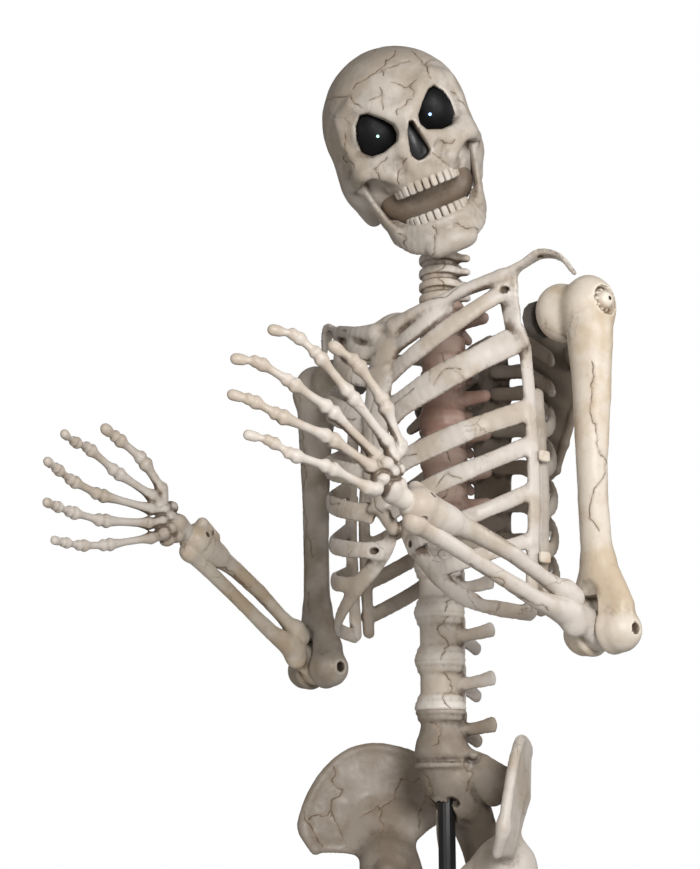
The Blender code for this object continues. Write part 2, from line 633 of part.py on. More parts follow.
CARPALS = ((0.016, -0.022), (0.014, 0.004), (0.020, 0.030), (0.040, -0.032), (0.044, -0.008),
           (0.046, 0.016), (0.044, 0.042), (0.064, -0.022), (0.066, 0.006), (0.062, 0.032))
BONE_ENDS = 0.0135


def hand_axes(side):
    """Along the fingers, towards the thumb, towards the palm."""
    rise = PALM_RISE[side]
    along = Vector((0, -math.cos(rise), math.sin(rise)))
    thumb = Vector((0, math.sin(rise), math.cos(rise)))
    return along, thumb, Vector((-SIDES[side], 0, 0))


def digit_points(side, name):
    along, thumb, palm = hand_axes(side)
    (root_along, root_across), bones = DIGITS[side][name]
    wrist = arm_points(side)[2]
    points = [wrist + along * root_along + thumb * root_across]
    for length, rise, curl in bones:
        rise, curl = math.radians(rise), math.radians(curl)
        way = Vector((0, -math.cos(rise), math.sin(rise))) * math.cos(curl)
        points.append(points[-1] + (way + palm * math.sin(curl)) * length)
    return points


def finger_bone(start, end, size):
    """A finger bone: a thick base, a waist and a knuckle."""
    start, end = Vector(start), Vector(end)
    stations = ((0.06, 0.92), (0.20, 0.80), (0.50, 0.58), (0.80, 0.72), (0.94, 0.88))
    return rod([start.lerp(end, at) for at, _ in stations],
               [size * share for _, share in stations], sides=8)


def build_hand(side):
    _, elbow, wrist = arm_points(side)
    ahead = (wrist - elbow).normalized()
    along, thumb, palm = hand_axes(side)
    shapes = [ball(wrist + along * a + thumb * b, (0.0165, 0.0165, 0.0165), segments=8, rings=6)
              for a, b in CARPALS]
    shapes.append(ball(wrist + ahead * 0.018, (0.020, 0.018, 0.018), segments=8, rings=6))
    chains = {name: digit_points(side, name) for name in DIGITS[side]}
    for chain in chains.values():
        root = chain[0].lerp(wrist + along * 0.045, 0.25)
        shapes.append(finger_bone(root, chain[1], BONE_ENDS * 1.15))
    palm_bone = moulding("palm_" + side, shapes, 0.0048, 520, smooth=1)
    for name, chain in chains.items():
        bones = [finger_bone(a, b, BONE_ENDS * shrink)
                 for a, b, shrink in zip(chain[1:], chain[2:], (1.0, 0.85, 0.74))]
        links = [ball(p, (0.0085,) * 3, segments=8, rings=6) for p in chain[2:-1]]
        base = ball(chain[1].lerp(chain[2], 0.05), (0.011,) * 3, segments=8, rings=6)
        finger = moulding(f"{name}_{side}", [*bones, *links, base], 0.0038, 140, smooth=1)
        clear_of(finger, palm_bone, 0.0012)
    pin_end = wrist + ahead * 0.012
    placed("wrist_pin_" + side, cylinder(wrist - ahead * 0.042, pin_end, 0.0085, 12),
           BLACK_PLASTIC)
    cut(palm_bone, cylinder(wrist - ahead * 0.06, pin_end + ahead * GAP, 0.0095, 14))


# ---------------------------------------------------------------- head
def head_axes():
    """Right (towards the viewer's right), up and forward of the face."""
    forward = Vector((math.cos(HEAD_NOD) * math.sin(HEAD_TURN),
                      -math.cos(HEAD_NOD) * math.cos(HEAD_TURN), -math.sin(HEAD_NOD)))
    level = Vector((math.cos(HEAD_TURN), math.sin(HEAD_TURN), 0))
    above = forward.cross(level)
    right = level * math.cos(HEAD_LEAN) + above * math.sin(HEAD_LEAN)
    up = above * math.cos(HEAD_LEAN) - level * math.sin(HEAD_LEAN)
    return right, up, forward


def on_head(point):
    right, up, forward = head_axes()
    return HEAD_CENTRE + right * point[0] + up * point[1] + forward * point[2]


def head_turn():
    right, up, forward = head_axes()
    return Matrix((right, up, forward)).transposed()


def head_ball(centre, radii):
    return ball(on_head(centre), radii, head_turn(), segments=16, rings=12)


def head_bar(points, widths, depths, across):
    right, up, forward = head_axes()
    aim = right * across[0] + up * across[1] + forward * across[2]
    return bar([on_head(p) for p in points], widths, depths, aim)


def head_block(low, high):
    shape = block(low, high)
    bmesh.ops.transform(shape, matrix=Matrix.Translation(HEAD_CENTRE) @ head_turn().to_4x4(),
                        verts=shape.verts)
    return shape


def build_skull():
    shapes = [
        head_ball((0, 0.045, -0.035), (0.148, 0.165, 0.160)),
        head_ball((0, 0.060, 0.045), (0.118, 0.110, 0.080)),
        head_ball((0, -0.010, 0.065), (0.088, 0.080, 0.076)),
        head_ball((0, -0.062, 0.085), (0.062, 0.040, 0.055)),
    ]
    for sign in (1, -1):
        shapes += [
            head_ball((0.096 * sign, -0.018, 0.070), (0.034, 0.024, 0.036)),
            head_bar([(0.112 * sign, -0.020, 0.066), (0.142 * sign, -0.028, 0.020),
                      (0.134 * sign, -0.030, -0.040)], [0.012] * 3, [0.012] * 3, (0, 1, 0)),
            head_bar([(0.030 * sign, 0.072, 0.118), (0.075 * sign, 0.086, 0.106),
                      (0.112 * sign, 0.058, 0.078)], [0.018] * 3, [0.014] * 3, (0, 1, 0)),
            head_ball((0.108 * sign, -0.060, -0.055), (0.024, 0.034, 0.030)),
        ]
    skull = moulding("skull", shapes, 0.0085, 1050)
    sockets = [head_ball((EYE_OUT * sign, EYE_UP, EYE_FORWARD), EYE_SOCKET)
               for sign in (1, -1)]
    nose = head_block((-0.019, -0.036, 0.094), (0.019, 0.034, 0.20))
    return cut(skull, *sockets, nose)


def build_face_inserts():
    for side, sign in SIDES.items():
        eye = placed("eye_" + side, head_ball((EYE_OUT * sign, EYE_UP, EYE_FORWARD),
                                              [r - 0.0015 for r in EYE_SOCKET]), EYE_GLOSS)
        cut(eye, head_block((-0.2, -0.2, 0.109), (0.2, 0.2, 0.3)))
    placed("nose_insert", head_block((-0.0175, -0.0345, 0.0955), (0.0175, 0.0325, 0.116)),
           BLACK_PLASTIC)


def build_jaw(skull, swivel, neck):
    hinge = JAW_HINGE
    shapes = [head_ball((0, -0.198, 0.088), (0.044, 0.029, 0.029)),
              head_bar([(0.060, -0.182, 0.072), (0.030, -0.188, 0.100), (0, -0.190, 0.107),
                        (-0.030, -0.188, 0.100), (-0.060, -0.182, 0.072)],
                       [0.030] * 5, [0.015] * 5, (0, 1, 0))]
    for sign in (1, -1):
        shapes.append(head_bar([(hinge[0] * sign, hinge[1], hinge[2]),
                                (0.108 * sign, -0.115, 0.028), (0.094 * sign, -0.160, 0.040),
                                (0.060 * sign, -0.184, 0.075)],
                               [0.018, 0.024, 0.027, 0.028], [0.010, 0.012, 0.013, 0.015],
                               (0, 0.3, 1)))
    jaw = moulding("jaw", shapes, 0.0075, 400)
    for neighbour in (skull, swivel, neck):
        clear_of(jaw, neighbour, 0.003)
    return jaw


def build_swivel(skull):
    swivel = placed("head_swivel", cylinder((0, 0, NECK_TOP_Z + GAP), (0, 0, 3.155), 0.030, 14),
                    BLACK_PLASTIC)
    placed_union(swivel, cylinder((0, 0, 3.150), (0, 0, 3.262), 0.017, 14))
    cut(skull, cylinder((0, 0, 3.0), (0, 0, 3.158), 0.033, 14),
        cylinder((0, 0, 3.1), (0, 0, 3.266), 0.0195, 14))
    return swivel


# ---------------------------------------------------------------- electrics
def build_electrics():
    box = placed("battery_box", block((-0.045, 0.0175, 1.52), (0.045, 0.062, 1.66)),
                 BLACK_PLASTIC)
    route = [(*CABLE_EXIT, 2.030), (*CABLE_EXIT, 1.985), (-0.029, 0.014, 1.940),
             (-0.018, 0.030, 1.880), (-0.010, 0.040, 1.800), (-0.012, 0.041, 1.720),
             (-0.014, 0.040, 1.662)]
    curve = bpy.data.curves.new("eye_cable", "CURVE")
    curve.dimensions = "3D"
    line = curve.splines.new("POLY")
    path = smooth_path(route, 6)
    line.points.add(len(path) - 1)
    for spot, point in zip(line.points, path):
        spot.co = (*point, 1)
    curve.bevel_depth = 0.002
    curve.bevel_resolution = 2
    curve.use_fill_caps = True
    curve.materials.append(material("eye_cable_finish", CABLE))
    cable = bpy.data.objects.new("eye_cable", curve)
    bpy.context.scene.collection.objects.link(cable)
    return box, cable


def main():
    clear_scene()
    build_stand()
    spines = build_spine()
    for side in SIDES:
        femur = build_leg(side)
        hip = build_hip_bone(side, spines[0])
        clear_of(hip, femur)
    neck = build_neck()
    sockets = [build_shoulder(side) for side in SIDES]
    front = build_rib_front(spines, sockets)
    back = build_rib_back(spines, sockets)
    build_rib_clips()
    for side in SIDES:
        build_scapula(side, back)
        build_upper_arm(side)
        build_forearm(side)
        build_hand(side)
    skull = build_skull()
    swivel = build_swivel(skull)
    build_face_inserts()
    build_jaw(skull, swivel, neck)
    build_electrics()


main()
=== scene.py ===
import json
import math
import bpy
import bmesh
import numpy as np
from mathutils import Matrix, Vector
from mathutils.kdtree import KDTree

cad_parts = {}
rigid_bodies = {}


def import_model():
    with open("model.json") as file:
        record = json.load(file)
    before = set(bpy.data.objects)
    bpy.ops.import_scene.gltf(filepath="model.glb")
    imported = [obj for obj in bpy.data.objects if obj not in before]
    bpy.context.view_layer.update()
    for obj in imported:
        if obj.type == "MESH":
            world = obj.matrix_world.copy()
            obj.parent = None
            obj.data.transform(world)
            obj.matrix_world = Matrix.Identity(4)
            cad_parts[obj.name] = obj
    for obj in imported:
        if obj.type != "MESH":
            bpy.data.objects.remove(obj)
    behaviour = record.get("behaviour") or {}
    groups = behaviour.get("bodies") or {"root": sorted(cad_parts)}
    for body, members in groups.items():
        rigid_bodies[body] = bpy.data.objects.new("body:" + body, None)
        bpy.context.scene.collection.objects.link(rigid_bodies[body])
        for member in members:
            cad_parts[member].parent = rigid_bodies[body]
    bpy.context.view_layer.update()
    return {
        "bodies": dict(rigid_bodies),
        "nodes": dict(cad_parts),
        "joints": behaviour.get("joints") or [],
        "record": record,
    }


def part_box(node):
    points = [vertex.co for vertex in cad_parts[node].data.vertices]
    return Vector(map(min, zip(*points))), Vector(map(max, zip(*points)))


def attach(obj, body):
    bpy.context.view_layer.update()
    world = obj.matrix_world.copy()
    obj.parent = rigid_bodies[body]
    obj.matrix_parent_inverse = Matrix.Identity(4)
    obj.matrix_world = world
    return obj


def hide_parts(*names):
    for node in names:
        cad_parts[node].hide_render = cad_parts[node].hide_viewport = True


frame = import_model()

joints = {joint["name"]: joint for joint in frame["record"]["behaviour"]["joints"]}
scene = bpy.context.scene
sides = {"left": 1, "right": -1}
poleBore = 0.0178   # radius of every hole that the pole runs through


def place(jointName):   # where a joint sits at rest
    return Vector(joints[jointName]["pos_m"])


def mirrored(point, side):
    return Vector((point[0] * sides[side], point[1], point[2]))


# ---- materials
def linear(hexColour):   # sRGB hex to the linear colour that a shader takes
    parts = [int(hexColour[i:i + 2], 16) / 255 for i in (1, 3, 5)]
    return tuple(c / 12.92 if c <= 0.04045 else ((c + 0.055) / 1.055) ** 2.4 for c in parts) + (1.0,)


def addNode(tree, kind, settings=None, inputs=None):   # a node with its settings, values and links
    node = tree.nodes.new(kind)
    for key, value in (settings or {}).items():
        setattr(node, key, value)
    for key, value in (inputs or {}).items():
        if isinstance(value, bpy.types.NodeSocket):
            tree.links.new(value, node.inputs[key])
        else:
            node.inputs[key].default_value = value
    return node


def newMaterial(name, **values):   # a principled material and its tree, shader and object coordinates
    material = bpy.data.materials.new(name)
    material.use_nodes = True
    tree = material.node_tree
    shader = tree.nodes["Principled BSDF"]
    for key, value in values.items():
        shader.inputs[key].default_value = value
    coords = addNode(tree, "ShaderNodeTexCoord").outputs["Object"]
    return material, tree, shader, coords


def noiseOf(tree, coords, millimetres, detail=3.0, roughness=0.55):   # noise with bumps of one size
    return addNode(tree, "ShaderNodeTexNoise", {}, {
        "Vector": coords, "Scale": 1000.0 / millimetres, "Detail": detail,
        "Roughness": roughness}).outputs["Fac"]


def ramped(tree, value, low, high, to=(0.0, 1.0)):   # a smooth step between two values
    return addNode(tree, "ShaderNodeMapRange", {"interpolation_type": "SMOOTHSTEP"}, {
        0: value, 1: low, 2: high, 3: to[0], 4: to[1]}).outputs[0]


def maths(tree, operation, first, second=0.0):
    return addNode(tree, "ShaderNodeMath", {"operation": operation}, {0: first, 1: second}).outputs[0]


def tinted(tree, amount, under, over, way="MIX"):   # one colour laid over another
    return addNode(tree, "ShaderNodeMix", {"data_type": "RGBA", "blend_type": way},
                   {0: amount, 6: under, 7: over}).outputs[2]


boneTones = {   # each finish: body paint, warm patches, brown wash (in hollows also painted shade), rubbed edges (also painted highlight)
    "pale": ("#c4bbb2", "#b2a596", "#584635", "#ded8d0"),
    "cream": ("#cabfb0", "#baa890", "#5f4a34", "#e0d8cb"),
    # darker grey copy of the bone paint for the far arm and the back rib shell: painted shade
    "grey": ("#a79d92", "#938677", "#463a2d", "#c9c1b7"),
    "skull": ("#b7aea4", "#a5998b", "#4e3d2e", "#d5cec5"),
    # a still darker copy of the bone paint for parts lying in shadow: painted shade
    "shadedDark": ("#8e8377", "#7d7062", "#40342a", "#b9afa3"),
    # dark copy of the bone paint for the mouth panel: painted shade behind the teeth
    "mouth": ("#7c6f62", "#6c5d4e", "#2e241c", "#91836f"),
    "pink": ("#a88f82", "#96776a", "#4e3a30", "#bca799"),
}
crackInk = "#46362a"


def boneMaterial(name, tone, washShadeDepth=1.0, hairlines=1.0, cracked=True):
    # Rotation-moulded polyethylene bone, sprayed bone white, then washed with thin brown paint that stays in
    # hollows and cracks; the hollows are also darkened as painted shade. Satin, mottled, with lighter ridges
    # that are partly rubbed paint and partly painted highlight.
    body, warm, washAndShade, rubbedAndLit = [linear(c) for c in boneTones[tone]]
    material, tree, shader, coords = newMaterial(name, IOR=1.46)
    patches = ramped(tree, noiseOf(tree, coords, 95, 4), 0.42, 0.62)
    colour = tinted(tree, patches, body, warm)
    blotches = ramped(tree, noiseOf(tree, coords, 26, 5, 0.65), 0.52, 0.78, (0.0, 0.20))
    colour = tinted(tree, blotches, colour, washAndShade)
    # lighter ridges: partly paint rubbed thin on edges, partly painted highlight
    edgeHighlight = addNode(tree, "ShaderNodeAttribute", {"attribute_name": "ridge"}).outputs["Fac"]
    colour = tinted(tree, ramped(tree, edgeHighlight, 0.25, 0.85, (0.0, 0.55)), colour, rubbedAndLit)
    # brown in hollows: partly the real paint wash, partly painted shade where recesses fall into shadow
    hollowWashShade = addNode(tree, "ShaderNodeAttribute", {"attribute_name": "hollowWashShade"}).outputs["Fac"]
    raggedWashShade = maths(tree, "ADD", hollowWashShade, maths(tree, "MULTIPLY", maths(
        tree, "SUBTRACT", noiseOf(tree, coords, 9, 4), 0.5), 0.5))
    colour = tinted(tree, ramped(tree, raggedWashShade, 0.08, 0.60, (0.0, 0.88 * washShadeDepth)), colour, washAndShade)
    stains = ramped(tree, noiseOf(tree, coords, 48, 6, 0.7), 0.66, 0.80, (0.0, 0.30))
    colour = tinted(tree, stains, colour, linear("#8a6a44"))
    # cracks: drawn ones come with the mesh, hairlines from the edges of warped cells 70 mm wide
    warped = addNode(tree, "ShaderNodeVectorMath", {"operation": "MULTIPLY_ADD"}, {
        0: addNode(tree, "ShaderNodeTexNoise", {}, {"Vector": coords, "Scale": 70.0, "Detail": 5.0,
                                                    "Roughness": 0.62}).outputs["Color"],
        1: (0.022, 0.022, 0.022), 2: coords}).outputs[0]
    cells = addNode(tree, "ShaderNodeTexVoronoi", {"feature": "DISTANCE_TO_EDGE"}, {
        "Vector": warped, "Scale": 1000.0 / 85}).outputs["Distance"]
    fine = maths(tree, "MULTIPLY", ramped(tree, cells, 0.004, 0.014, (1.0, 0.0)),
                 ramped(tree, noiseOf(tree, coords, 130, 2), 0.56, 0.64, (0.0, 0.55 * hairlines)))
    lines = fine
    if cracked:
        across = addNode(tree, "ShaderNodeAttribute", {"attribute_name": "crack"}).outputs["Fac"]
        away = addNode(tree, "ShaderNodeAttribute", {"attribute_name": "crackFar"}).outputs["Fac"]
        inside = ramped(tree, away, 0.0040, 0.0065, (1.0, 0.0))
        deep = ramped(tree, noiseOf(tree, coords, 18, 3), 0.35, 0.62, (0.25, 1.0))
        drawn = maths(tree, "MULTIPLY", ramped(tree, maths(tree, "ABSOLUTE", across), 0.0003, 0.0018,
                                               (1.0, 0.0)), inside)
        colour = tinted(tree, ramped(tree, away, 0.0005, 0.0060, (0.26, 0.0)), colour, linear("#8a6f52"))
        lines = maths(tree, "MAXIMUM", maths(tree, "MULTIPLY", drawn, deep), fine)
    colour = tinted(tree, maths(tree, "MULTIPLY", lines, 0.80), colour, linear(crackInk))
    tree.links.new(colour, shader.inputs["Base Color"])
    sheen = ramped(tree, noiseOf(tree, coords, 30, 3), 0.3, 0.7, (0.42, 0.60))
    tree.links.new(sheen, shader.inputs["Roughness"])
    grain = maths(tree, "ADD", maths(tree, "MULTIPLY", noiseOf(tree, coords, 5, 3), 0.5),
                  maths(tree, "MULTIPLY", noiseOf(tree, coords, 16, 3), 1.0))
    height = maths(tree, "SUBTRACT", grain, maths(tree, "MULTIPLY", lines, 1.1))
    bump = addNode(tree, "ShaderNodeBump", {}, {"Strength": 0.45, "Distance": 0.0012, "Height": height})
    tree.links.new(bump.outputs[0], shader.inputs["Normal"])
    return material


def plainFinish(name, colours, patch, roughness, bumpSize, bumpDepth, **values):
    # one colour over another in soft patches, with an uneven gloss and a fine bump
    material, tree, shader, coords = newMaterial(name, **values)
    first, second = [linear(c) for c in colours]
    tree.links.new(tinted(tree, ramped(tree, noiseOf(tree, coords, patch), 0.35, 0.7), first, second),
                   shader.inputs["Base Color"])
    tree.links.new(ramped(tree, noiseOf(tree, coords, patch * 0.6), 0.3, 0.7, roughness),
                   shader.inputs["Roughness"])
    bump = addNode(tree, "ShaderNodeBump", {}, {"Strength": 0.4, "Distance": bumpDepth,
                                                "Height": noiseOf(tree, coords, bumpSize)})
    tree.links.new(bump.outputs[0], shader.inputs["Normal"])
    return material


print("materials")
paleBone = boneMaterial("pale_moulded_bone", "pale")
creamBone = boneMaterial("cream_moulded_bone", "cream")
# a darker copy of the bone paint: painted shade on the far upper arm and the back rib shell
shadedGreyBone = boneMaterial("shaded_grey_moulded_bone", "grey", 1.1)
skullBone = boneMaterial("smoky_moulded_bone", "skull")
# a dark copy of the bone paint: painted shade on the sacrum, shoulder blades and far hip bone
shadedDarkBone = boneMaterial("shaded_dark_moulded_bone", "shadedDark", 1.1, 0.6)
pinkBone = boneMaterial("pinkish_brown_moulded_bone", "pink", 0.9, 0.5)
# the mouth panel is darkened as painted shade behind the teeth
shadeMouthBone = boneMaterial("painted_shade_mouth_panel", "mouth", 1.2, 0.0, False)
toothEnamel = boneMaterial("painted_tooth_plastic", "pale", 0.8, 0.0, False)
clipBone = boneMaterial("moulded_clip_plastic", "cream", 0.8, 0.0, False)
# powder coat: sprayed polyester baked on steel, fine orange peel drawn at 2 mm so that it shows
powderCoat = plainFinish("black_powder_coat", ("#111113", "#1b1b1e"), 60, (0.30, 0.42), 2.0, 0.0002,
                         Metallic=0.0, IOR=1.5)
# ABS moulded in a spark-eroded tool: a dull even grain, drawn at 1.5 mm
blackAbs = plainFinish("black_moulded_abs", ("#17171a", "#232326"), 30, (0.42, 0.60), 1.5, 0.0003, IOR=1.53)
# dark grey ABS of the shoulder brackets, a little dusty
greyAbs = plainFinish("grey_moulded_abs", ("#4b4641", "#5d5750"), 25, (0.50, 0.65), 1.5, 0.0003, IOR=1.53)
# polycarbonate eye screens: dark tinted, with a satin front that shows no sharp reflections
eyeGloss = plainFinish("tinted_polycarbonate", ("#050506", "#0a0a0c"), 40, (0.42, 0.55), 12, 0.0006, IOR=1.25)
# zinc plated steel bolts: bright, slightly blue, with a soft haze
zincSteel = plainFinish("zinc_plated_steel", ("#b5b6b8", "#cfcdc6"), 12, (0.30, 0.48), 1.5, 0.0002,
                        Metallic=1.0)
# braided polyester sleeve of the eye cable, light grey
cableSleeve = plainFinish("cable_sleeve", ("#a9a398", "#c2bcb1"), 8, (0.55, 0.70), 1.5, 0.0003)


# ---- clay: bones are added and hollows carved on a grid of distances, then the skin is taken
speckle = np.random.RandomState(11).rand(32, 32, 32).astype(np.float32) * 2 - 1
margin = 0.022   # how far beyond a shape its distances are worked out
linkBlend = 0.0015   # softening where two links of one bone meet
crackStep = 0.0028   # longest straight stretch of a crack
grooveWidth, grooveDepth = 0.0028, 0.0009   # the groove pressed along every crack
hollowWashShadeReaches = ((0.0065, 0.6), (0.017, 0.55))   # how far out hollows are felt for, and each one's share
ridgeReach = 0.007   # how far in ridges are felt for


def lumps(points, size):   # soft lumps of one size, from -1 to 1
    steps = points / size
    base = np.floor(steps).astype(int)
    part = steps - base
    part = part * part * (3 - 2 * part)
    total = np.zeros(len(points))
    for corner in range(8):
        bits = np.array([corner & 1, corner >> 1 & 1, corner >> 2 & 1])
        weight = np.prod(np.where(bits, part, 1 - part), axis=1)
        cell = (base + bits) % 32
        total += weight * speckle[cell[:, 0], cell[:, 1], cell[:, 2]]
    return total


def smoothPath(points, steps):   # points along a soft curve through the given ones
    points = [np.array(p, float) for p in points]
    ends = [2 * points[0] - points[1], *points, 2 * points[-1] - points[-2]]
    path = []
    for a, b, c, d in zip(ends, ends[1:], ends[2:], ends[3:]):
        for k in range(steps):
            t = k / steps
            path.append(0.5 * (2 * b + (c - a) * t + (2 * a - 5 * b + 4 * c - d) * t ** 2
                               + (3 * b - 3 * c + d - a) * t ** 3))
    return path + [points[-1]]


def spread(values, count):   # a short list of sizes evened out over more points
    return np.interp(np.linspace(0, 1, count), np.linspace(0, 1, len(values)), values)


def oval(wide, tall, count, middle=(0, 0)):   # points round an ellipse
    return [(middle[0] + wide * math.cos(k * math.tau / count),
             middle[1] + tall * math.sin(k * math.tau / count)) for k in range(count)]


def square(half):
    return [(-half, -half), (half, -half), (half, half), (-half, half)]


def sidePath(side, steps, *points):   # a soft curve given on the left side, laid on either side
    return smoothPath([mirrored(point, side) for point in points], steps)


def unit(vector):
    return np.array(vector, float) / np.linalg.norm(vector)


class Clay:
    def __init__(self, low, high, cell, frame=None):
        self.cell = cell
        self.low = np.array(low, float)
        self.count = np.ceil((np.array(high, float) - self.low) / cell).astype(int) + 2
        self.field = np.full(self.count, 0.05, np.float32)
        self.frame = frame or Matrix()
        self.crackLines = []

    def window(self, points, reach):
        points = np.array(points, float).reshape(-1, 3)
        first = np.clip(np.floor((points.min(0) - reach - self.low) / self.cell).astype(int), 0, self.count)
        last = np.clip(np.ceil((points.max(0) + reach - self.low) / self.cell).astype(int) + 1, 0, self.count)
        axes = [(self.low[k] + self.cell * np.arange(first[k], last[k])).astype(np.float32) for k in range(3)]
        return tuple(slice(a, b) for a, b in zip(first, last)), np.stack(
            np.meshgrid(*axes, indexing="ij"), -1)

    def merge(self, part, distance, blend, carve):
        old = self.field[part]
        new = -distance if carve else distance
        soft = np.maximum(blend - np.abs(old - new), 0) / blend
        pull = soft * soft * blend * 0.25
        self.field[part] = np.maximum(old, new) + pull if carve else np.minimum(old, new) - pull

    # the links of one bone joined hard, so that no joint swells, then merged
    def chain(self, links, blend, carve):
        first = np.min([[side.start for side in part] for part, _ in links], axis=0)
        last = np.max([[side.stop for side in part] for part, _ in links], axis=0)
        whole = np.full(np.maximum(last - first, 0), 0.08, np.float32)
        for part, distance in links:
            inner = tuple(slice(side.start - a, side.stop - a) for side, a in zip(part, first))
            near = np.abs(whole[inner] - distance)
            pull = np.maximum(linkBlend - near, 0) ** 2 / (4 * linkBlend)
            whole[inner] = np.minimum(whole[inner], distance) - pull
        self.merge(tuple(slice(a, b) for a, b in zip(first, last)), whole, blend, carve)
        return self

    def rod(self, points, radii, blend=0.006, carve=False):   # round, tapering between its points
        radii = spread(np.atleast_1d(radii), len(points))
        links = []
        for a, b, ra, rb in zip(points, points[1:], radii, radii[1:]):
            a, b = np.array(a, float), np.array(b, float)
            part, grid = self.window([a, b], max(ra, rb) + margin)
            run = b - a
            t = np.clip(((grid - a) @ run) / max(run @ run, 1e-12), 0, 1)
            away = np.linalg.norm(grid - a - t[..., None] * run, axis=-1)
            links.append((part, (away - ra - (rb - ra) * t).astype(np.float32)))
        return self.chain(links, blend, carve)

    def strap(self, points, widths, thicks, across, blend=0.006, carve=False):   # flat, wide along 'across'
        widths, thicks = [spread(np.atleast_1d(v), len(points)) for v in (widths, thicks)]
        aims = across if np.ndim(across) == 2 else [across] * len(points)
        links = []
        for i in range(len(points) - 1):
            a, b = np.array(points[i], float), np.array(points[i + 1], float)
            run = b - a
            length = np.linalg.norm(run)
            way = run / length
            aim = (np.array(aims[i], float) + np.array(aims[i + 1], float)) / 2
            wide = unit(aim - way * (aim @ way))
            deep = np.cross(way, wide)
            part, grid = self.window([a, b], max(widths[i], widths[i + 1]) + margin)
            off = grid - a
            along = off @ way
            t = np.clip(along / length, 0, 1)
            w = widths[i] + (widths[i + 1] - widths[i]) * t
            h = thicks[i] + (thicks[i + 1] - thicks[i]) * t
            over = along - t * length
            u, v = off @ wide, off @ deep
            cap = np.minimum(w, h) * 1.3
            near = np.sqrt((u / w) ** 2 + (v / h) ** 2 + (over / cap) ** 2)
            steep = np.sqrt((u / w ** 2) ** 2 + (v / h ** 2) ** 2 + (over / cap ** 2) ** 2)
            links.append((part, (near * (near - 1) / np.maximum(steep, 1e-6)).astype(np.float32)))
        return self.chain(links, blend, carve)

    def ball(self, centre, radii, axes=None, blend=0.010, carve=False):
        radii = np.array(radii, float) * np.ones(3)
        part, grid = self.window([centre], radii.max() + margin)
        off = grid - np.array(centre, float)
        if axes is not None:
            off = off @ np.array(axes, float).T
        near = np.linalg.norm(off / radii, axis=-1)
        steep = np.linalg.norm(off / radii ** 2, axis=-1)
        self.merge(part, (near * (near - 1) / np.maximum(steep, 1e-6)).astype(np.float32), blend, carve)
        return self

    # an outline drawn on the first two axes, thick along the third
    def plate(self, outline, low, high, soft=0.003, blend=0.006, carve=False, origin=(0, 0, 0),
              axes=((1, 0, 0), (0, 1, 0), (0, 0, 1))):
        axes, origin = np.array(axes, float), np.array(origin, float)
        outline = np.array(outline, float)
        corners = [origin + p @ axes[:2] + z * axes[2] for p in outline for z in (low, high)]
        part, grid = self.window(corners, margin)
        off = (grid - origin) @ axes.T
        p = off[..., :2]
        best = np.full(p.shape[:-1], 1e9)
        inner = np.ones(p.shape[:-1])
        for a, b in zip(outline, np.roll(outline, 1, axis=0)):
            edge, gap = b - a, p - a
            t = np.clip((gap @ edge) / (edge @ edge), 0, 1)
            rest = gap - t[..., None] * edge
            best = np.minimum(best, (rest ** 2).sum(-1))
            tests = np.stack([p[..., 1] >= a[1], p[..., 1] < b[1],
                              edge[0] * gap[..., 1] > edge[1] * gap[..., 0]])
            inner *= np.where(tests.all(0) | (~tests).all(0), -1, 1)
        flat = inner * np.sqrt(best) + soft
        tall = np.maximum(low - off[..., 2], off[..., 2] - high) + soft
        both = np.minimum(np.maximum(flat, tall), 0) + np.hypot(np.maximum(flat, 0), np.maximum(tall, 0))
        self.merge(part, (both - soft).astype(np.float32), blend, carve)
        return self

    def sample(self, points):
        steps = (np.array(points, float) - self.low) / self.cell
        base = np.clip(np.floor(steps).astype(int), 0, self.count - 2)
        part = np.clip(steps - base, 0, 1)
        total = np.zeros(len(points))
        for corner in range(8):
            bits = np.array([corner & 1, corner >> 1 & 1, corner >> 2 & 1])
            at = base + bits
            weight = np.prod(np.where(bits, part, 1 - part), axis=1)
            total += weight * self.field[at[:, 0], at[:, 1], at[:, 2]]
        return total

    def slope(self, points):
        step = self.cell * 0.75
        parts = [self.sample(points + step * axis) - self.sample(points - step * axis) for axis in np.eye(3)]
        way = np.stack(parts, -1)
        return way / np.maximum(np.linalg.norm(way, axis=1, keepdims=True), 1e-9)

    def crack(self, points, jag=0.16, seed=1, look=None):   # a jagged line, laid on the skin
        random = np.random.RandomState(seed)
        line = [np.array(p, float) for p in points]
        level = 1.0
        while max(np.linalg.norm(b - a) for a, b in zip(line, line[1:])) > crackStep:
            level *= 0.78
            finer = [line[0]]
            for a, b in zip(line, line[1:]):
                length = np.linalg.norm(b - a)
                if length > crackStep:
                    finer.append((a + b) / 2 + random.randn(3) * length * jag * level)
                finer.append(b)
            line = finer
        line = np.array(line)
        if look is not None:   # dropped on to the skin along a direction
            look = unit(look)
            line = line - look * 0.4
            for _ in range(70):
                line = line + look * np.maximum(self.sample(line), 0.0)[:, None] * 0.8
        for _ in range(8):
            line = line - self.slope(line) * self.sample(line)[:, None]
        ways = np.gradient(line, axis=0)
        self.crackLines.append((line, ways / np.maximum(np.linalg.norm(ways, axis=1, keepdims=True), 1e-9)))
        return self

    def cracks(self, lines, jag, seed, look=None, lay=lambda *point: point):   # several lines, one seed each
        for i, line in enumerate(lines):
            self.crack([lay(*point) for point in line], jag, seed + i, look)

    def disc(self, centre, wide, deep, half, soft, blend):   # a lying oval disc with a rounded rim
        self.plate(oval(wide, deep, 24), -half, half, soft, blend, False, centre)

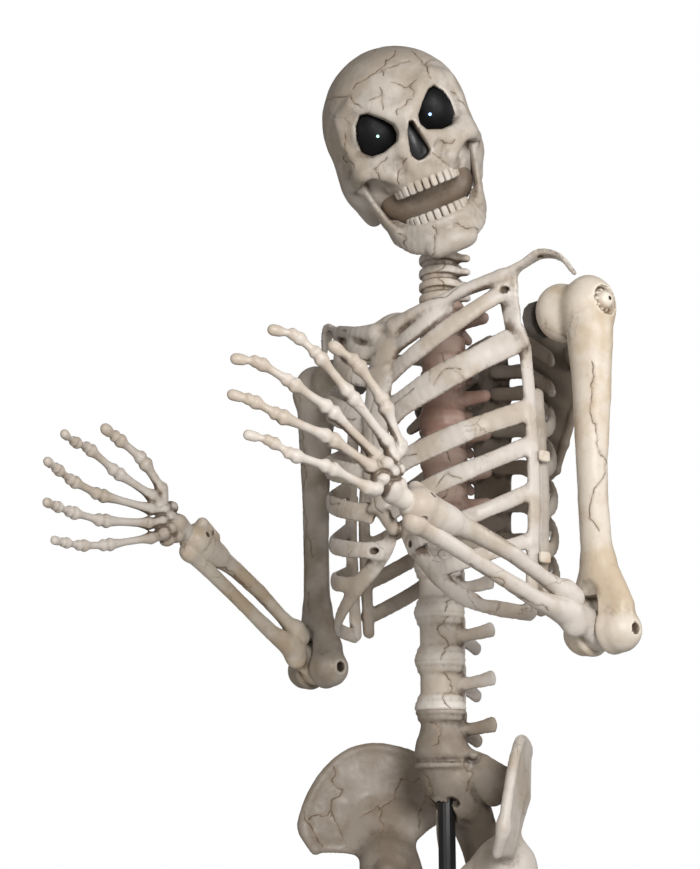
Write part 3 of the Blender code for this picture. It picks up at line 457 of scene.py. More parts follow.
    def skin(self, name, material, body, rough=0.0007, *replaced):   # the surface as a mesh that rides a body
        field = self.field
        size = self.count - 1
        total = np.zeros((*size, 3), np.float32)
        hits = np.zeros(tuple(size), np.float32)
        crossings = []
        for axis in range(3):
            low = [slice(None)] * 3
            high = [slice(None)] * 3
            low[axis], high[axis] = slice(0, -1), slice(1, None)
            a, b = field[tuple(low)], field[tuple(high)]
            cross = (a < 0) != (b < 0)
            at = np.argwhere(cross)
            start, end = a[cross], b[cross]
            spots = at.astype(np.float32)
            spots[:, axis] += start / (start - end)
            others = [k for k in range(3) if k != axis]
            for du in (0, 1):
                for dv in (0, 1):
                    cell = at.copy()
                    cell[:, others[0]] -= du
                    cell[:, others[1]] -= dv
                    fits = ((cell >= 0) & (cell < size)).all(1)
                    index = tuple(cell[fits].T)
                    np.add.at(total, index, spots[fits])
                    np.add.at(hits, index, 1)
            crossings.append((at, start < 0))
        live = hits > 0
        number = np.full(tuple(size), -1, np.int64)
        number[live] = np.arange(live.sum())
        points = self.low + self.cell * (total[live] / hits[live][:, None]).astype(float)
        quads = []
        for axis, (at, inside) in enumerate(crossings):
            j, k = (axis + 1) % 3, (axis + 2) % 3
            ring = []
            for dj, dk in ((-1, -1), (0, -1), (0, 0), (-1, 0)):
                cell = at.copy()
                cell[:, j] += dj
                cell[:, k] += dk
                ring.append(number[tuple(np.clip(cell, 0, size - 1).T)])
            ring = np.stack(ring, -1)
            ring[~inside] = ring[~inside][:, ::-1]
            quads.append(ring)
        quads = np.concatenate(quads)
        points -= self.slope(points) * np.clip(self.sample(points), -self.cell, self.cell)[:, None]
        normals = self.slope(points)
        # how hollow each point is, for the brown wash and the painted shade in recesses
        hollowWashShade = sum(share * (1 - self.sample(points + normals * reach) / reach)
                     for reach, share in hollowWashShadeReaches)
        ridge = 1 + self.sample(points - normals * ridgeReach) / ridgeReach
        crack, away = np.ones(len(points)), np.ones(len(points))
        if self.crackLines:
            line = np.concatenate([c[0] for c in self.crackLines])
            ways = np.concatenate([c[1] for c in self.crackLines])
            tree = KDTree(len(line))
            for i, p in enumerate(line):
                tree.insert(p, i)
            tree.balance()
            nearest = np.array([tree.find(p)[1] for p in points])
            gap = points - line[nearest]
            away = np.linalg.norm(gap, axis=1)
            crack = (np.cross(ways[nearest], normals) * gap).sum(1)
        points = points + normals * (lumps(points, 0.030) * rough * 0.6 + lumps(points, 0.0085) * rough * 0.35
                                     - grooveDepth * np.exp(-(away / grooveWidth) ** 2))[:, None]
        mesh = bpy.data.meshes.new(name)
        mesh.vertices.add(len(points))
        mesh.vertices.foreach_set("co", points.astype(np.float32).ravel())
        mesh.loops.add(quads.size)
        mesh.loops.foreach_set("vertex_index", quads.astype(np.int32).ravel())
        mesh.polygons.add(len(quads))
        mesh.polygons.foreach_set("loop_start", np.arange(0, quads.size, 4, dtype=np.int32))
        mesh.update(calc_edges=True)
        for label, values in (("hollowWashShade", hollowWashShade), ("ridge", ridge), ("crack", crack), ("crackFar", away)):
            mesh.attributes.new(label, "FLOAT", "POINT").data.foreach_set("value", values.astype(np.float32))
        mesh.transform(self.frame)
        mesh.validate()
        return finished(mesh, name, material, body, *replaced)


def finished(mesh, name, material, body, *replaced):   # smooth shaded, in the scene and riding its body
    piece = bpy.data.objects.new(name, mesh)
    scene.collection.objects.link(piece)
    if material:
        mesh.materials.clear()
        mesh.materials.append(material)
    mesh.polygons.foreach_set("use_smooth", [True] * len(mesh.polygons))
    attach(piece, body)
    if replaced:
        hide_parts(*replaced)
    print(name, len(mesh.polygons) * 2, "triangles")
    return piece


# ---- geometry node tools
def nodeTree(name, sockets):   # an empty tree with a mesh in, named values in and a mesh out
    tree = bpy.data.node_groups.new(name, "GeometryNodeTree")
    face = tree.interface
    face.new_socket("Mesh", in_out="INPUT", socket_type="NodeSocketGeometry")
    for label, kind, value in sockets:
        face.new_socket(label, in_out="INPUT", socket_type=kind).default_value = value
    face.new_socket("Mesh", in_out="OUTPUT", socket_type="NodeSocketGeometry")
    return tree, addNode(tree, "NodeGroupInput"), addNode(tree, "NodeGroupOutput")


def grown(name, base, tree, values, material, body, *replaced):   # runs a tree on a mesh and keeps the result
    holder = bpy.data.objects.new(name + "_seed", base)
    scene.collection.objects.link(holder)
    step = holder.modifiers.new("grow", "NODES")
    step.node_group = tree
    for item in tree.interface.items_tree:
        if item.in_out == "INPUT" and item.name in values:
            step[item.identifier] = values[item.name]
    ready = holder.evaluated_get(bpy.context.evaluated_depsgraph_get())
    mesh = bpy.data.meshes.new_from_object(ready)
    mesh.name = name
    bpy.data.objects.remove(holder)
    return finished(mesh, name, material, body, *replaced)


def copiesTree(name, shape, material):
    # one shape set on every point of the seed mesh, its Z along the point's facing
    tree, given, out = nodeTree(name, [("Size", "NodeSocketVector", (0.01, 0.01, 0.01)),
                                       ("Variation", "NodeSocketFloat", 0.0),
                                       ("Seed", "NodeSocketInt", 3)])
    facing = addNode(tree, "GeometryNodeInputNamedAttribute", {"data_type": "FLOAT_VECTOR"},
                     {"Name": "facing"})
    aside = addNode(tree, "GeometryNodeInputNamedAttribute", {"data_type": "FLOAT_VECTOR"}, {"Name": "aside"})
    turn = addNode(tree, "FunctionNodeAlignEulerToVector", {"axis": "Z"}, {"Vector": facing.outputs[0]})
    turn = addNode(tree, "FunctionNodeAlignEulerToVector", {"axis": "X", "pivot_axis": "Z"},
                   {"Rotation": turn.outputs[0], "Vector": aside.outputs[0]})
    part = shape(tree)
    smallest = addNode(tree, "ShaderNodeMath", {"operation": "SUBTRACT"},
                       {0: 1.0, 1: given.outputs["Variation"]})
    random = addNode(tree, "FunctionNodeRandomValue", {"data_type": "FLOAT"},
                     {2: smallest.outputs[0], 3: 1.0, "Seed": given.outputs["Seed"]})
    scale = addNode(tree, "ShaderNodeVectorMath", {"operation": "SCALE"},
                    {0: given.outputs["Size"], "Scale": random.outputs[1]})
    many = addNode(tree, "GeometryNodeInstanceOnPoints", {}, {
        "Points": given.outputs["Mesh"], "Instance": part, "Rotation": turn.outputs[0],
        "Scale": scale.outputs[0]})
    real = addNode(tree, "GeometryNodeRealizeInstances", {}, {"Geometry": many.outputs[0]})
    done = addNode(tree, "GeometryNodeSetMaterial", {}, {"Geometry": real.outputs[0], "Material": material})
    tree.links.new(done.outputs[0], out.inputs[0])
    return tree


def softCube(tree):   # a rounded block two units across
    cube = addNode(tree, "GeometryNodeMeshCube", {}, {"Size": (2.0, 2.0, 2.0)})
    return addNode(tree, "GeometryNodeSubdivisionSurface", {}, {
        "Mesh": cube.outputs[0], "Level": 3, "Edge Crease": 0.35}).outputs[0]


def screwHead(tree):   # a domed head with a hexagon socket
    body = addNode(tree, "GeometryNodeMeshCylinder", {"fill_type": "NGON"},
                   {"Vertices": 24, "Radius": 1.0, "Depth": 1.0})
    inset = addNode(tree, "GeometryNodeMeshCylinder", {"fill_type": "NGON"},
                    {"Vertices": 6, "Radius": 0.5, "Depth": 1.0})
    lifted = addNode(tree, "GeometryNodeTransform", {},
                     {"Geometry": inset.outputs[0], "Translation": (0, 0, 0.55)})
    return addNode(tree, "GeometryNodeMeshBoolean", {"operation": "DIFFERENCE"}, {
        "Mesh 1": body.outputs[0], "Mesh 2": lifted.outputs[0]}).outputs[0]


def facedPoints(points, facing, aside):   # seed points with the two directions that turn each copy
    mesh = bpy.data.meshes.new("points")
    mesh.from_pydata([tuple(p) for p in points], [], [])
    for label, ways in (("facing", facing), ("aside", aside)):
        ways = np.broadcast_to(np.array(ways, np.float32), (len(points), 3))
        mesh.attributes.new(label, "FLOAT_VECTOR", "POINT").data.foreach_set("vector", ways.ravel())
    return mesh


screwTree = copiesTree("screw_heads", screwHead, zincSteel)
darkScrewTree = copiesTree("black_screw_heads", screwHead, blackAbs)
toothTree = copiesTree("teeth", softCube, toothEnamel)
blockTree = copiesTree("soft_blocks", softCube, clipBone)


# ---- head: modelled upright in its own axes (right, up, forward), then set turned, nodding and leaning
headPose = {"centre": (0.026, -0.106, 3.311), "turn": 55, "nod": 20, "lean": 23.5}


def headFrame():
    turn, nod, lean = [math.radians(headPose[key]) for key in ("turn", "nod", "lean")]
    forward = Vector((math.cos(nod) * math.sin(turn), -math.cos(nod) * math.cos(turn), -math.sin(nod)))
    level = Vector((math.cos(turn), math.sin(turn), 0))
    above = forward.cross(level)
    right = level * math.cos(lean) + above * math.sin(lean)
    up = above * math.cos(lean) - level * math.sin(lean)
    frame = Matrix((right, up, forward)).transposed().to_4x4()
    frame.translation = Vector(headPose["centre"])
    return frame


headMatrix = headFrame()
headInverse = headMatrix.inverted()
socketOutline = [(0.022, 0.028), (0.030, 0.014), (0.060, 0.004), (0.083, 0.006), (0.095, 0.022),
                 (0.097, 0.045), (0.090, 0.070), (0.076, 0.086), (0.062, 0.084), (0.038, 0.062),
                 (0.024, 0.045)]
noseOutline = [(0.002, 0.041), (0.009, 0.039), (0.014, 0.020), (0.022, -0.012), (0.023, -0.024),
               (0.016, -0.031), (0.003, -0.035), (-0.007, -0.033), (-0.014, -0.022), (-0.014, -0.010),
               (-0.006, 0.024)]


def skullClay():
    clay = Clay((-0.175, -0.16, -0.225), (0.175, 0.225, 0.16), 0.0031, headMatrix)
    clay.ball((0, 0.050, -0.040), (0.147, 0.152, 0.165))
    clay.ball((0, 0.070, 0.026), (0.120, 0.108, 0.100), blend=0.03)
    clay.ball((0, -0.040, -0.045), (0.150, 0.105, 0.108), blend=0.03)
    clay.ball((0, -0.012, 0.060), (0.086, 0.078, 0.072), blend=0.02)
    clay.ball((0, -0.070, 0.010), (0.090, 0.040, 0.060), blend=0.012)
    for sign in (1, -1):
        clay.ball((0.150 * sign, 0.040, 0.052), (0.034, 0.052, 0.050), blend=0.03, carve=True)
        clay.ball((0.100 * sign, -0.020, 0.070), (0.030, 0.022, 0.034), blend=0.016)
        clay.strap([(0.104 * sign, -0.018, 0.078), (0.124 * sign, -0.028, 0.055),
                    (0.134 * sign, -0.032, 0.020), (0.132 * sign, -0.026, -0.020),
                    (0.124 * sign, -0.020, -0.055)], [0.019, 0.015, 0.013, 0.013, 0.014],
                   [0.012, 0.009, 0.008, 0.008, 0.010], (0, 1, 0), 0.014)
        clay.rod([(0.006 * sign, 0.040, 0.122), (0.026 * sign, 0.066, 0.122), (0.050 * sign, 0.092, 0.112),
                  (0.080 * sign, 0.106, 0.092), (0.108 * sign, 0.090, 0.066), (0.116 * sign, 0.050, 0.060),
                  (0.108 * sign, 0.005, 0.068)], [0.016, 0.018, 0.017, 0.015, 0.014, 0.013, 0.014], 0.018)
        clay.rod([(0.108 * sign, 0.000, 0.076), (0.080 * sign, -0.010, 0.096), (0.048 * sign, -0.008, 0.108),
                  (0.026 * sign, 0.010, 0.118)], [0.013, 0.012, 0.012, 0.011], 0.014)
        clay.rod([(0.010 * sign, 0.044, 0.122), (0.022 * sign, 0.010, 0.126), (0.031 * sign, -0.022, 0.114),
                  (0.022 * sign, -0.042, 0.116)], [0.009, 0.010, 0.010, 0.010], 0.012)
        clay.rod([(0.076 * sign, -0.030, 0.092), (0.056 * sign, -0.048, 0.104)], [0.018, 0.014], 0.016)
        clay.ball((0.110 * sign, -0.090, -0.060), (0.022, 0.036, 0.030), blend=0.014)
        clay.ball((0.120 * sign, -0.034, -0.012), (0.012, 0.014, 0.010), blend=0.004, carve=True)
        clay.ball((0.098 * sign, -0.052, 0.070), (0.020, 0.020, 0.030), blend=0.014, carve=True)
        clay.ball((0.046 * sign, -0.030, 0.128), (0.012, 0.014, 0.008), blend=0.012, carve=True)
    clay.rod([(0, 0.064, 0.120), (0, 0.052, 0.130), (0, 0.040, 0.134)], [0.020, 0.014, 0.010], 0.016)
    clay.strap(smoothPath([(-0.064, -0.062, 0.066), (-0.048, -0.062, 0.096), (0, -0.062, 0.114),
                           (0.048, -0.062, 0.096), (0.064, -0.062, 0.066)], 3), 0.016, 0.011, (0, 1, 0),
               0.012)
    for sign in (1, -1):
        clay.plate([(x * sign, y) for x, y in socketOutline], 0.062, 0.20, 0.008, 0.004, True)
    clay.plate(noseOutline, 0.098, 0.20, 0.004, 0.003, True)
    neckTop = headInverse @ Vector((0, 0, 3.262))
    neckFoot = headInverse @ Vector((0, 0, 3.05))
    clay.rod([neckTop, neckFoot], 0.0225, 0.004, True)
    front = (0, 0, -1)
    clay.cracks((
        [(0.038, 0.177), (0.029, 0.168), (0.011, 0.166), (-0.006, 0.154), (-0.006, 0.142)],
        [(-0.006, 0.154), (-0.046, 0.146), (-0.065, 0.141)],
        [(0.070, 0.164), (0.075, 0.146), (0.076, 0.131), (0.074, 0.116), (0.074, 0.104)],
        [(0.076, 0.131), (0.090, 0.136), (0.102, 0.134)],
        [(0.004, 0.120), (0.015, 0.110), (0.027, 0.101), (0.043, 0.108)],
        [(0.027, 0.101), (0.033, 0.091), (0.029, 0.084)],
        [(-0.023, 0.118), (-0.025, 0.105), (-0.031, 0.095), (-0.033, 0.083)],
        [(-0.048, 0.106), (-0.036, 0.107), (-0.025, 0.105)],
        [(-0.128, 0.133), (-0.106, 0.140), (-0.079, 0.129), (-0.080, 0.117), (-0.071, 0.100)],
        [(-0.008, 0.149), (0.026, 0.148), (0.051, 0.148)],
        [(-0.014, 0.064), (-0.001, 0.070), (0.011, 0.073), (0.020, 0.078)],
        [(-0.088, -0.020), (-0.075, -0.012), (-0.061, -0.008)],
        [(-0.088, -0.020), (-0.086, -0.036)],
        [(-0.029, -0.024), (-0.048, -0.039), (-0.056, -0.059)],
        [(0.026, -0.034), (0.037, -0.048), (0.046, -0.064)],
        [(0.051, -0.017), (0.062, -0.026), (0.072, -0.026)],
        [(0.109, 0.062), (0.116, 0.046), (0.125, 0.030)],
        [(-0.115, 0.061), (-0.125, 0.032), (-0.122, 0.002)],
    ), 0.17, 20, front, lambda x, y: (x, y, 0))
    clay.cracks((
        [(0.0, 0.20, 0.02), (0.03, 0.20, -0.04), (-0.02, 0.20, -0.09), (0.01, 0.17, -0.16),
         (-0.01, 0.10, -0.20)],
        [(0.03, 0.20, -0.04), (0.08, 0.17, -0.06), (0.12, 0.12, -0.09)],
        [(-0.02, 0.20, -0.09), (-0.08, 0.16, -0.08), (-0.13, 0.10, -0.05), (-0.145, 0.05, -0.06)],
        [(-0.01, 0.10, -0.20), (0.05, 0.05, -0.19), (0.11, 0.02, -0.14)],
        [(-0.01, 0.10, -0.20), (-0.06, 0.03, -0.19), (-0.11, 0.00, -0.13)],
    ), 0.15, 60)
    return clay


def mouthPanel():   # the shaded panel that closes the mouth behind the teeth
    clay = Clay((-0.125, -0.175, -0.06), (0.125, -0.03, 0.12), 0.0033, headMatrix)
    clay.ball((0, -0.098, 0.017), (0.096, 0.060, 0.056), blend=0.010)
    clay.ball((0, -0.080, 0.060), (0.060, 0.026, 0.040), blend=0.016)
    clay.skin("mouth_panel", shadeMouthBone, "head", 0.0006)


print("head")
mouthPanel()
skullClay().skin("skull_shell", skullBone, "head", 0.0010, "skull")
for side, sign in (("left", 1), ("right", -1)):   # bulging dark screens, each with a small glowing dot behind it as a painted glint
    lens = Clay((-0.11, -0.012, 0.035), (0.11, 0.105, 0.125), 0.0026, headMatrix)
    outline = [(x * sign, y) for x, y in socketOutline]
    lens.plate(outline, 0.045, 0.100, 0.006, 0.004)
    lens.ball((0.060 * sign, 0.046, 0.086), (0.045, 0.050, 0.026), blend=0.006)
    lens.field = np.maximum(lens.field, Clay((-0.11, -0.012, 0.035), (0.11, 0.105, 0.125), 0.0026).plate(
        outline, 0.02, 0.2, 0.008).field + 0.0006)
    lens.skin("eye_screen_" + side, eyeGloss, "head", 0.0002, "eye_" + side)
plug = Clay((-0.035, -0.045, 0.085), (0.035, 0.055, 0.135), 0.002, headMatrix)
plug.plate(noseOutline, 0.092, 0.108, 0.004)
plug.ball((0, 0.0, 0.100), (0.016, 0.035, 0.014), blend=0.006)
plug.skin("nose_screen", blackAbs, "head", 0.0004, "nose_insert")


def paintedGlint(name, hexColour, spot, size):   # a small glowing disc in the eye screen: a painted glint, not a lamp
    material, _, shader, _ = newMaterial("painted_glint_" + name, Roughness=0.2)
    shader.inputs["Base Color"].default_value = linear("#101012")
    shader.inputs["Emission Color"].default_value = linear(hexColour)
    shader.inputs["Emission Strength"].default_value = 3.5
    mesh = bpy.data.meshes.new(name)
    bm = bmesh.new()
    bmesh.ops.create_uvsphere(bm, u_segments=16, v_segments=10, radius=1.0)
    bmesh.ops.scale(bm, vec=(size, size, size * 0.5), verts=bm.verts)
    bmesh.ops.translate(bm, vec=spot, verts=bm.verts)
    bmesh.ops.transform(bm, matrix=headMatrix, verts=bm.verts)
    bm.to_mesh(mesh)
    bm.free()
    return finished(mesh, "painted_glint_" + name, material, "head")


def arch(points, count):   # evenly spaced places along a curve, with outward and sideways ways
    path = np.array(smoothPath(points, 12))
    steps = np.concatenate([[0], np.cumsum(np.linalg.norm(np.diff(path, axis=0), axis=1))])
    at = np.linspace(0, steps[-1], count)
    spots = np.stack([np.interp(at, steps, path[:, k]) for k in range(3)], -1)
    ways = np.gradient(spots, axis=0)
    return spots, ways / np.linalg.norm(ways, axis=1, keepdims=True)


# small glowing dots that paint the glints of light on the eye screens
paintedGlint("left", "#8fb6ff", (0.0485, 0.0385, 0.1135), 0.0030)
paintedGlint("right", "#a8f0cc", (-0.0600, 0.0370, 0.1135), 0.0026)


teeth = {
    "upper": {"y": -0.079, "half": 0.0125, "count": 12, "reach": 0.1215, "wide": 0.060, "body": "head"},
    "lower": {"y": -0.143, "half": 0.0115, "count": 12, "reach": 0.115, "wide": 0.058, "body": "lower_jaw"},
}
for row, size in teeth.items():
    spots, ways = arch([(-size["wide"], size["y"], size["reach"] - 0.046),
                        (-size["wide"] * 0.72, size["y"], size["reach"] - 0.016),
                        (0, size["y"], size["reach"]),
                        (size["wide"] * 0.72, size["y"], size["reach"] - 0.016),
                        (size["wide"], size["y"], size["reach"] - 0.046)], size["count"])
    turn = np.array(headMatrix.to_3x3())
    spots = spots @ turn.T + np.array(headMatrix.translation)
    seed = facedPoints(spots, np.tile(turn @ np.array((0, 1, 0)), (len(spots), 1)), ways @ turn.T)
    grown(row + "_teeth", seed, toothTree, {"Size": (0.0064, 0.0062, size["half"]), "Variation": 0.10,
                                            "Seed": 5}, toothEnamel, size["body"])


def jawClay():
    clay = Clay((-0.15, -0.245, -0.02), (0.15, -0.015, 0.16), 0.0030, headMatrix)
    bow = smoothPath([(-0.086, -0.150, 0.038), (-0.068, -0.170, 0.070), (-0.038, -0.182, 0.096),
                      (0, -0.186, 0.106), (0.038, -0.182, 0.096), (0.068, -0.170, 0.070),
                      (0.086, -0.150, 0.038)], 3)
    clay.strap(bow, [0.026, 0.030, 0.031, 0.031, 0.030, 0.026],
               [0.010, 0.012, 0.014, 0.014, 0.012, 0.010], (0, 1, -0.1), 0.012)
    gum = smoothPath([(-0.066, -0.156, 0.062), (-0.044, -0.158, 0.098), (0, -0.160, 0.113),
                      (0.044, -0.158, 0.098), (0.066, -0.156, 0.062)], 3)
    clay.strap(gum, 0.010, 0.0085, (0, 1, 0), 0.010)
    clay.ball((0, -0.202, 0.104), (0.040, 0.022, 0.022), blend=0.016)
    for sign in (1, -1):
        clay.ball((0.030 * sign, -0.206, 0.102), (0.020, 0.016, 0.018), blend=0.012)
        clay.strap([(0.117 * sign, -0.040, 0.028), (0.108 * sign, -0.085, 0.026),
                    (0.098 * sign, -0.125, 0.030), (0.084 * sign, -0.158, 0.044)],
                   [0.015, 0.020, 0.026, 0.028], [0.007, 0.007, 0.009, 0.011], (0, 0.35, 1), 0.014)
        clay.ball((0.118 * sign, -0.042, 0.026), (0.012, 0.013, 0.015), blend=0.008)
    front = (0, 0, -1)
    clay.cracks((
        [(-0.045, -0.212), (-0.034, -0.191), (-0.023, -0.177), (-0.025, -0.164)],
        [(0.027, -0.181), (0.040, -0.190), (0.056, -0.199)],
        [(-0.085, -0.153), (-0.078, -0.165), (-0.084, -0.179)],
        [(0.013, -0.174), (0.027, -0.181)],
    ), 0.17, 90, front, lambda x, y: (x, y, 0))
    return clay


jawClay().skin("jaw_shell", skullBone, "lower_jaw", 0.0009, "jaw")


# ---- arms: turned on their real joints, each bone with knuckled ends and age cracks
def limbAxes(side):
    shoulder, elbow, wrist = [np.array(place(f"{name}_{side}")) for name in ("shoulder", "elbow", "wrist")]
    return shoulder, elbow, wrist, np.array((sides[side], 0.0, 0.0))


# places beside a bone, by share of its length and degrees round it
def roundTheBone(path, around, angles, radius):
    path = np.array(path)
    steps = np.concatenate([[0], np.cumsum(np.linalg.norm(np.diff(path, axis=0), axis=1))])
    spots = []
    for share, angle in angles:
        at = [np.interp(share * steps[-1], steps, path[:, k]) for k in range(3)]
        way = unit(path[-1] - path[0])
        first = unit(around - way * (around @ way))
        second = np.cross(way, first)
        turn = math.radians(angle)
        spots.append(np.array(at) + radius * (first * math.cos(turn) + second * math.sin(turn)))
    return spots


# share of the length down the bone, degrees round from the outer side
armCracks = (
    [(0.13, -62), (0.20, -78), (0.27, -70), (0.35, -84), (0.43, -74), (0.52, -88), (0.60, -76),
     (0.70, -84), (0.78, -72)],
    [(0.27, -70), (0.30, -40), (0.34, -22)],
    [(0.43, -74), (0.46, -50), (0.45, -28)],
    [(0.52, -88), (0.56, -112), (0.61, -120)],
    [(0.10, -30), (0.16, -44), (0.19, -62)],
    [(0.66, -40), (0.72, -52), (0.80, -44), (0.86, -56)],
    [(0.70, -84), (0.74, -104), (0.80, -108)],
    [(0.20, 40), (0.32, 52), (0.44, 40), (0.58, 55), (0.70, 45)],
    [(0.44, 40), (0.48, 20)],
    [(0.25, 150), (0.40, 165), (0.55, 150), (0.72, 170)],
)


def upperArm(side, material):
    shoulder, elbow, _, out = limbAxes(side)
    down = unit(elbow - shoulder)
    low = np.minimum(shoulder, elbow) - (0.155, 0.085, 0.075)
    high = np.maximum(shoulder, elbow) + (0.155, 0.085, 0.085)
    low[0] = shoulder[0] - (0.135 if side == "left" else 0.085)
    high[0] = shoulder[0] + (0.085 if side == "left" else 0.135)
    clay = Clay(low, high, 0.0040)
    clay.ball(shoulder - out * 0.060, (0.044, 0.054, 0.054), blend=0.014)
    clay.rod([shoulder - out * 0.040, shoulder + out * 0.002], [0.043, 0.046], 0.012)
    clay.ball(shoulder + out * 0.006, (0.039, 0.047, 0.053), blend=0.014)
    clay.ball(shoulder + out * 0.010 - np.array((0, 0.026, 0.012)), (0.026, 0.024, 0.030), blend=0.014)
    length = np.linalg.norm(elbow - shoulder)
    shaft = []
    for share, bow, lean in ((0.02, 0, 0.002), (0.12, -0.002, 0.004), (0.24, -0.004, 0.003),
                             (0.40, -0.006, 0), (0.60, -0.006, -0.002), (0.78, -0.003, -0.001),
                             (0.90, 0, 0)):
        shaft.append(shoulder + down * share * length + np.array((0, bow, 0)) + out * lean)
    clay.rod(shaft, [0.045, 0.039, 0.0325, 0.0285, 0.0265, 0.028, 0.031], 0.014)
    clay.strap([shoulder + down * 0.06 + out * 0.022, shoulder + down * 0.17 + out * 0.020,
                shoulder + down * 0.26 + out * 0.012], [0.020, 0.016, 0.010], [0.016, 0.014, 0.010],
               (0, 1, 0), 0.020)
    flare = [elbow - down * 0.115, elbow - down * 0.070, elbow - down * 0.020]
    clay.strap(flare, [0.032, 0.046, 0.050], [0.027, 0.032, 0.034], out, 0.016)
    for way in (1, -1):
        clay.rod([elbow + out * way * 0.040, elbow + out * way * 0.026], [0.038, 0.041], 0.008)
        clay.ball(elbow + out * way * 0.044, (0.011, 0.033, 0.033), blend=0.008)
        clay.rod([elbow - down * 0.095 + out * way * 0.030, elbow - down * 0.045 + out * way * 0.046],
                 [0.012, 0.022], 0.018)
    clay.ball(elbow - down * 0.062 + np.array((0, 0.033, 0)), (0.020, 0.012, 0.026), blend=0.010, carve=True)
    clay.ball(elbow - down * 0.066 - np.array((0, 0.038, 0)), (0.022, 0.012, 0.020), blend=0.010, carve=True)
    clay.rod([shoulder - out * 0.2, shoulder + out * 0.1], 0.0118, 0.003, True)
    recess = shoulder + out * 0.031
    clay.rod([recess, recess + out * 0.08], 0.0250, 0.003, True)
    ring = oval(0.064, 0.064, 28)
    clay.plate(ring, -0.0180, 0.0180, 0.003, 0.003, True, elbow, ((0, 1, 0), (0, 0, 1), (1, 0, 0)))
    clay.rod([elbow - out * 0.12, elbow + out * 0.12], 0.0075, 0.002, True)
    for way in (1, -1):
        clay.rod([elbow + out * way * 0.0510, elbow + out * way * 0.09], 0.0092, 0.002, True)
    for i, line in enumerate(armCracks):
        clay.crack(roundTheBone([shoulder, elbow], out, line, 0.031), 0.20, 100 + 17 * sides[side] + i)
    clay.crack(roundTheBone([shoulder, elbow], out, [(-0.06, -60), (0.0, -70), (0.05, -90)], 0.05), 0.2, 130)
    clay.skin("humerus_shell_" + side, material, f"upper_arm_{side}_body", 0.0008, "upper_arm_" + side)


# the ratchet's release button: a domed disc with a scalloped edge in a round recess
def scallopButton(side):
    shoulder, _, _, out = limbAxes(side)
    clay = Clay(shoulder + out * 0.034 - 0.034, shoulder + out * 0.034 + 0.034, 0.0016)
    clay.rod([shoulder + out * 0.028, shoulder + out * 0.0375], 0.0175, 0.002)
    clay.ball(shoulder + out * 0.040, (0.0065, 0.0145, 0.0145), blend=0.003)
    for k in range(10):
        turn = k * math.tau / 10
        clay.ball(shoulder + out * 0.035 + np.array((0, math.cos(turn), math.sin(turn))) * 0.0178,
                  (0.0075, 0.0042, 0.0042), blend=0.0025)
    clay.ball(shoulder + out * 0.0485, (0.006, 0.006, 0.006), blend=0.002, carve=True)
    clay.skin("ratchet_button_" + side, creamBone, "stand_and_torso", 0.0002, "shoulder_axle_" + side)


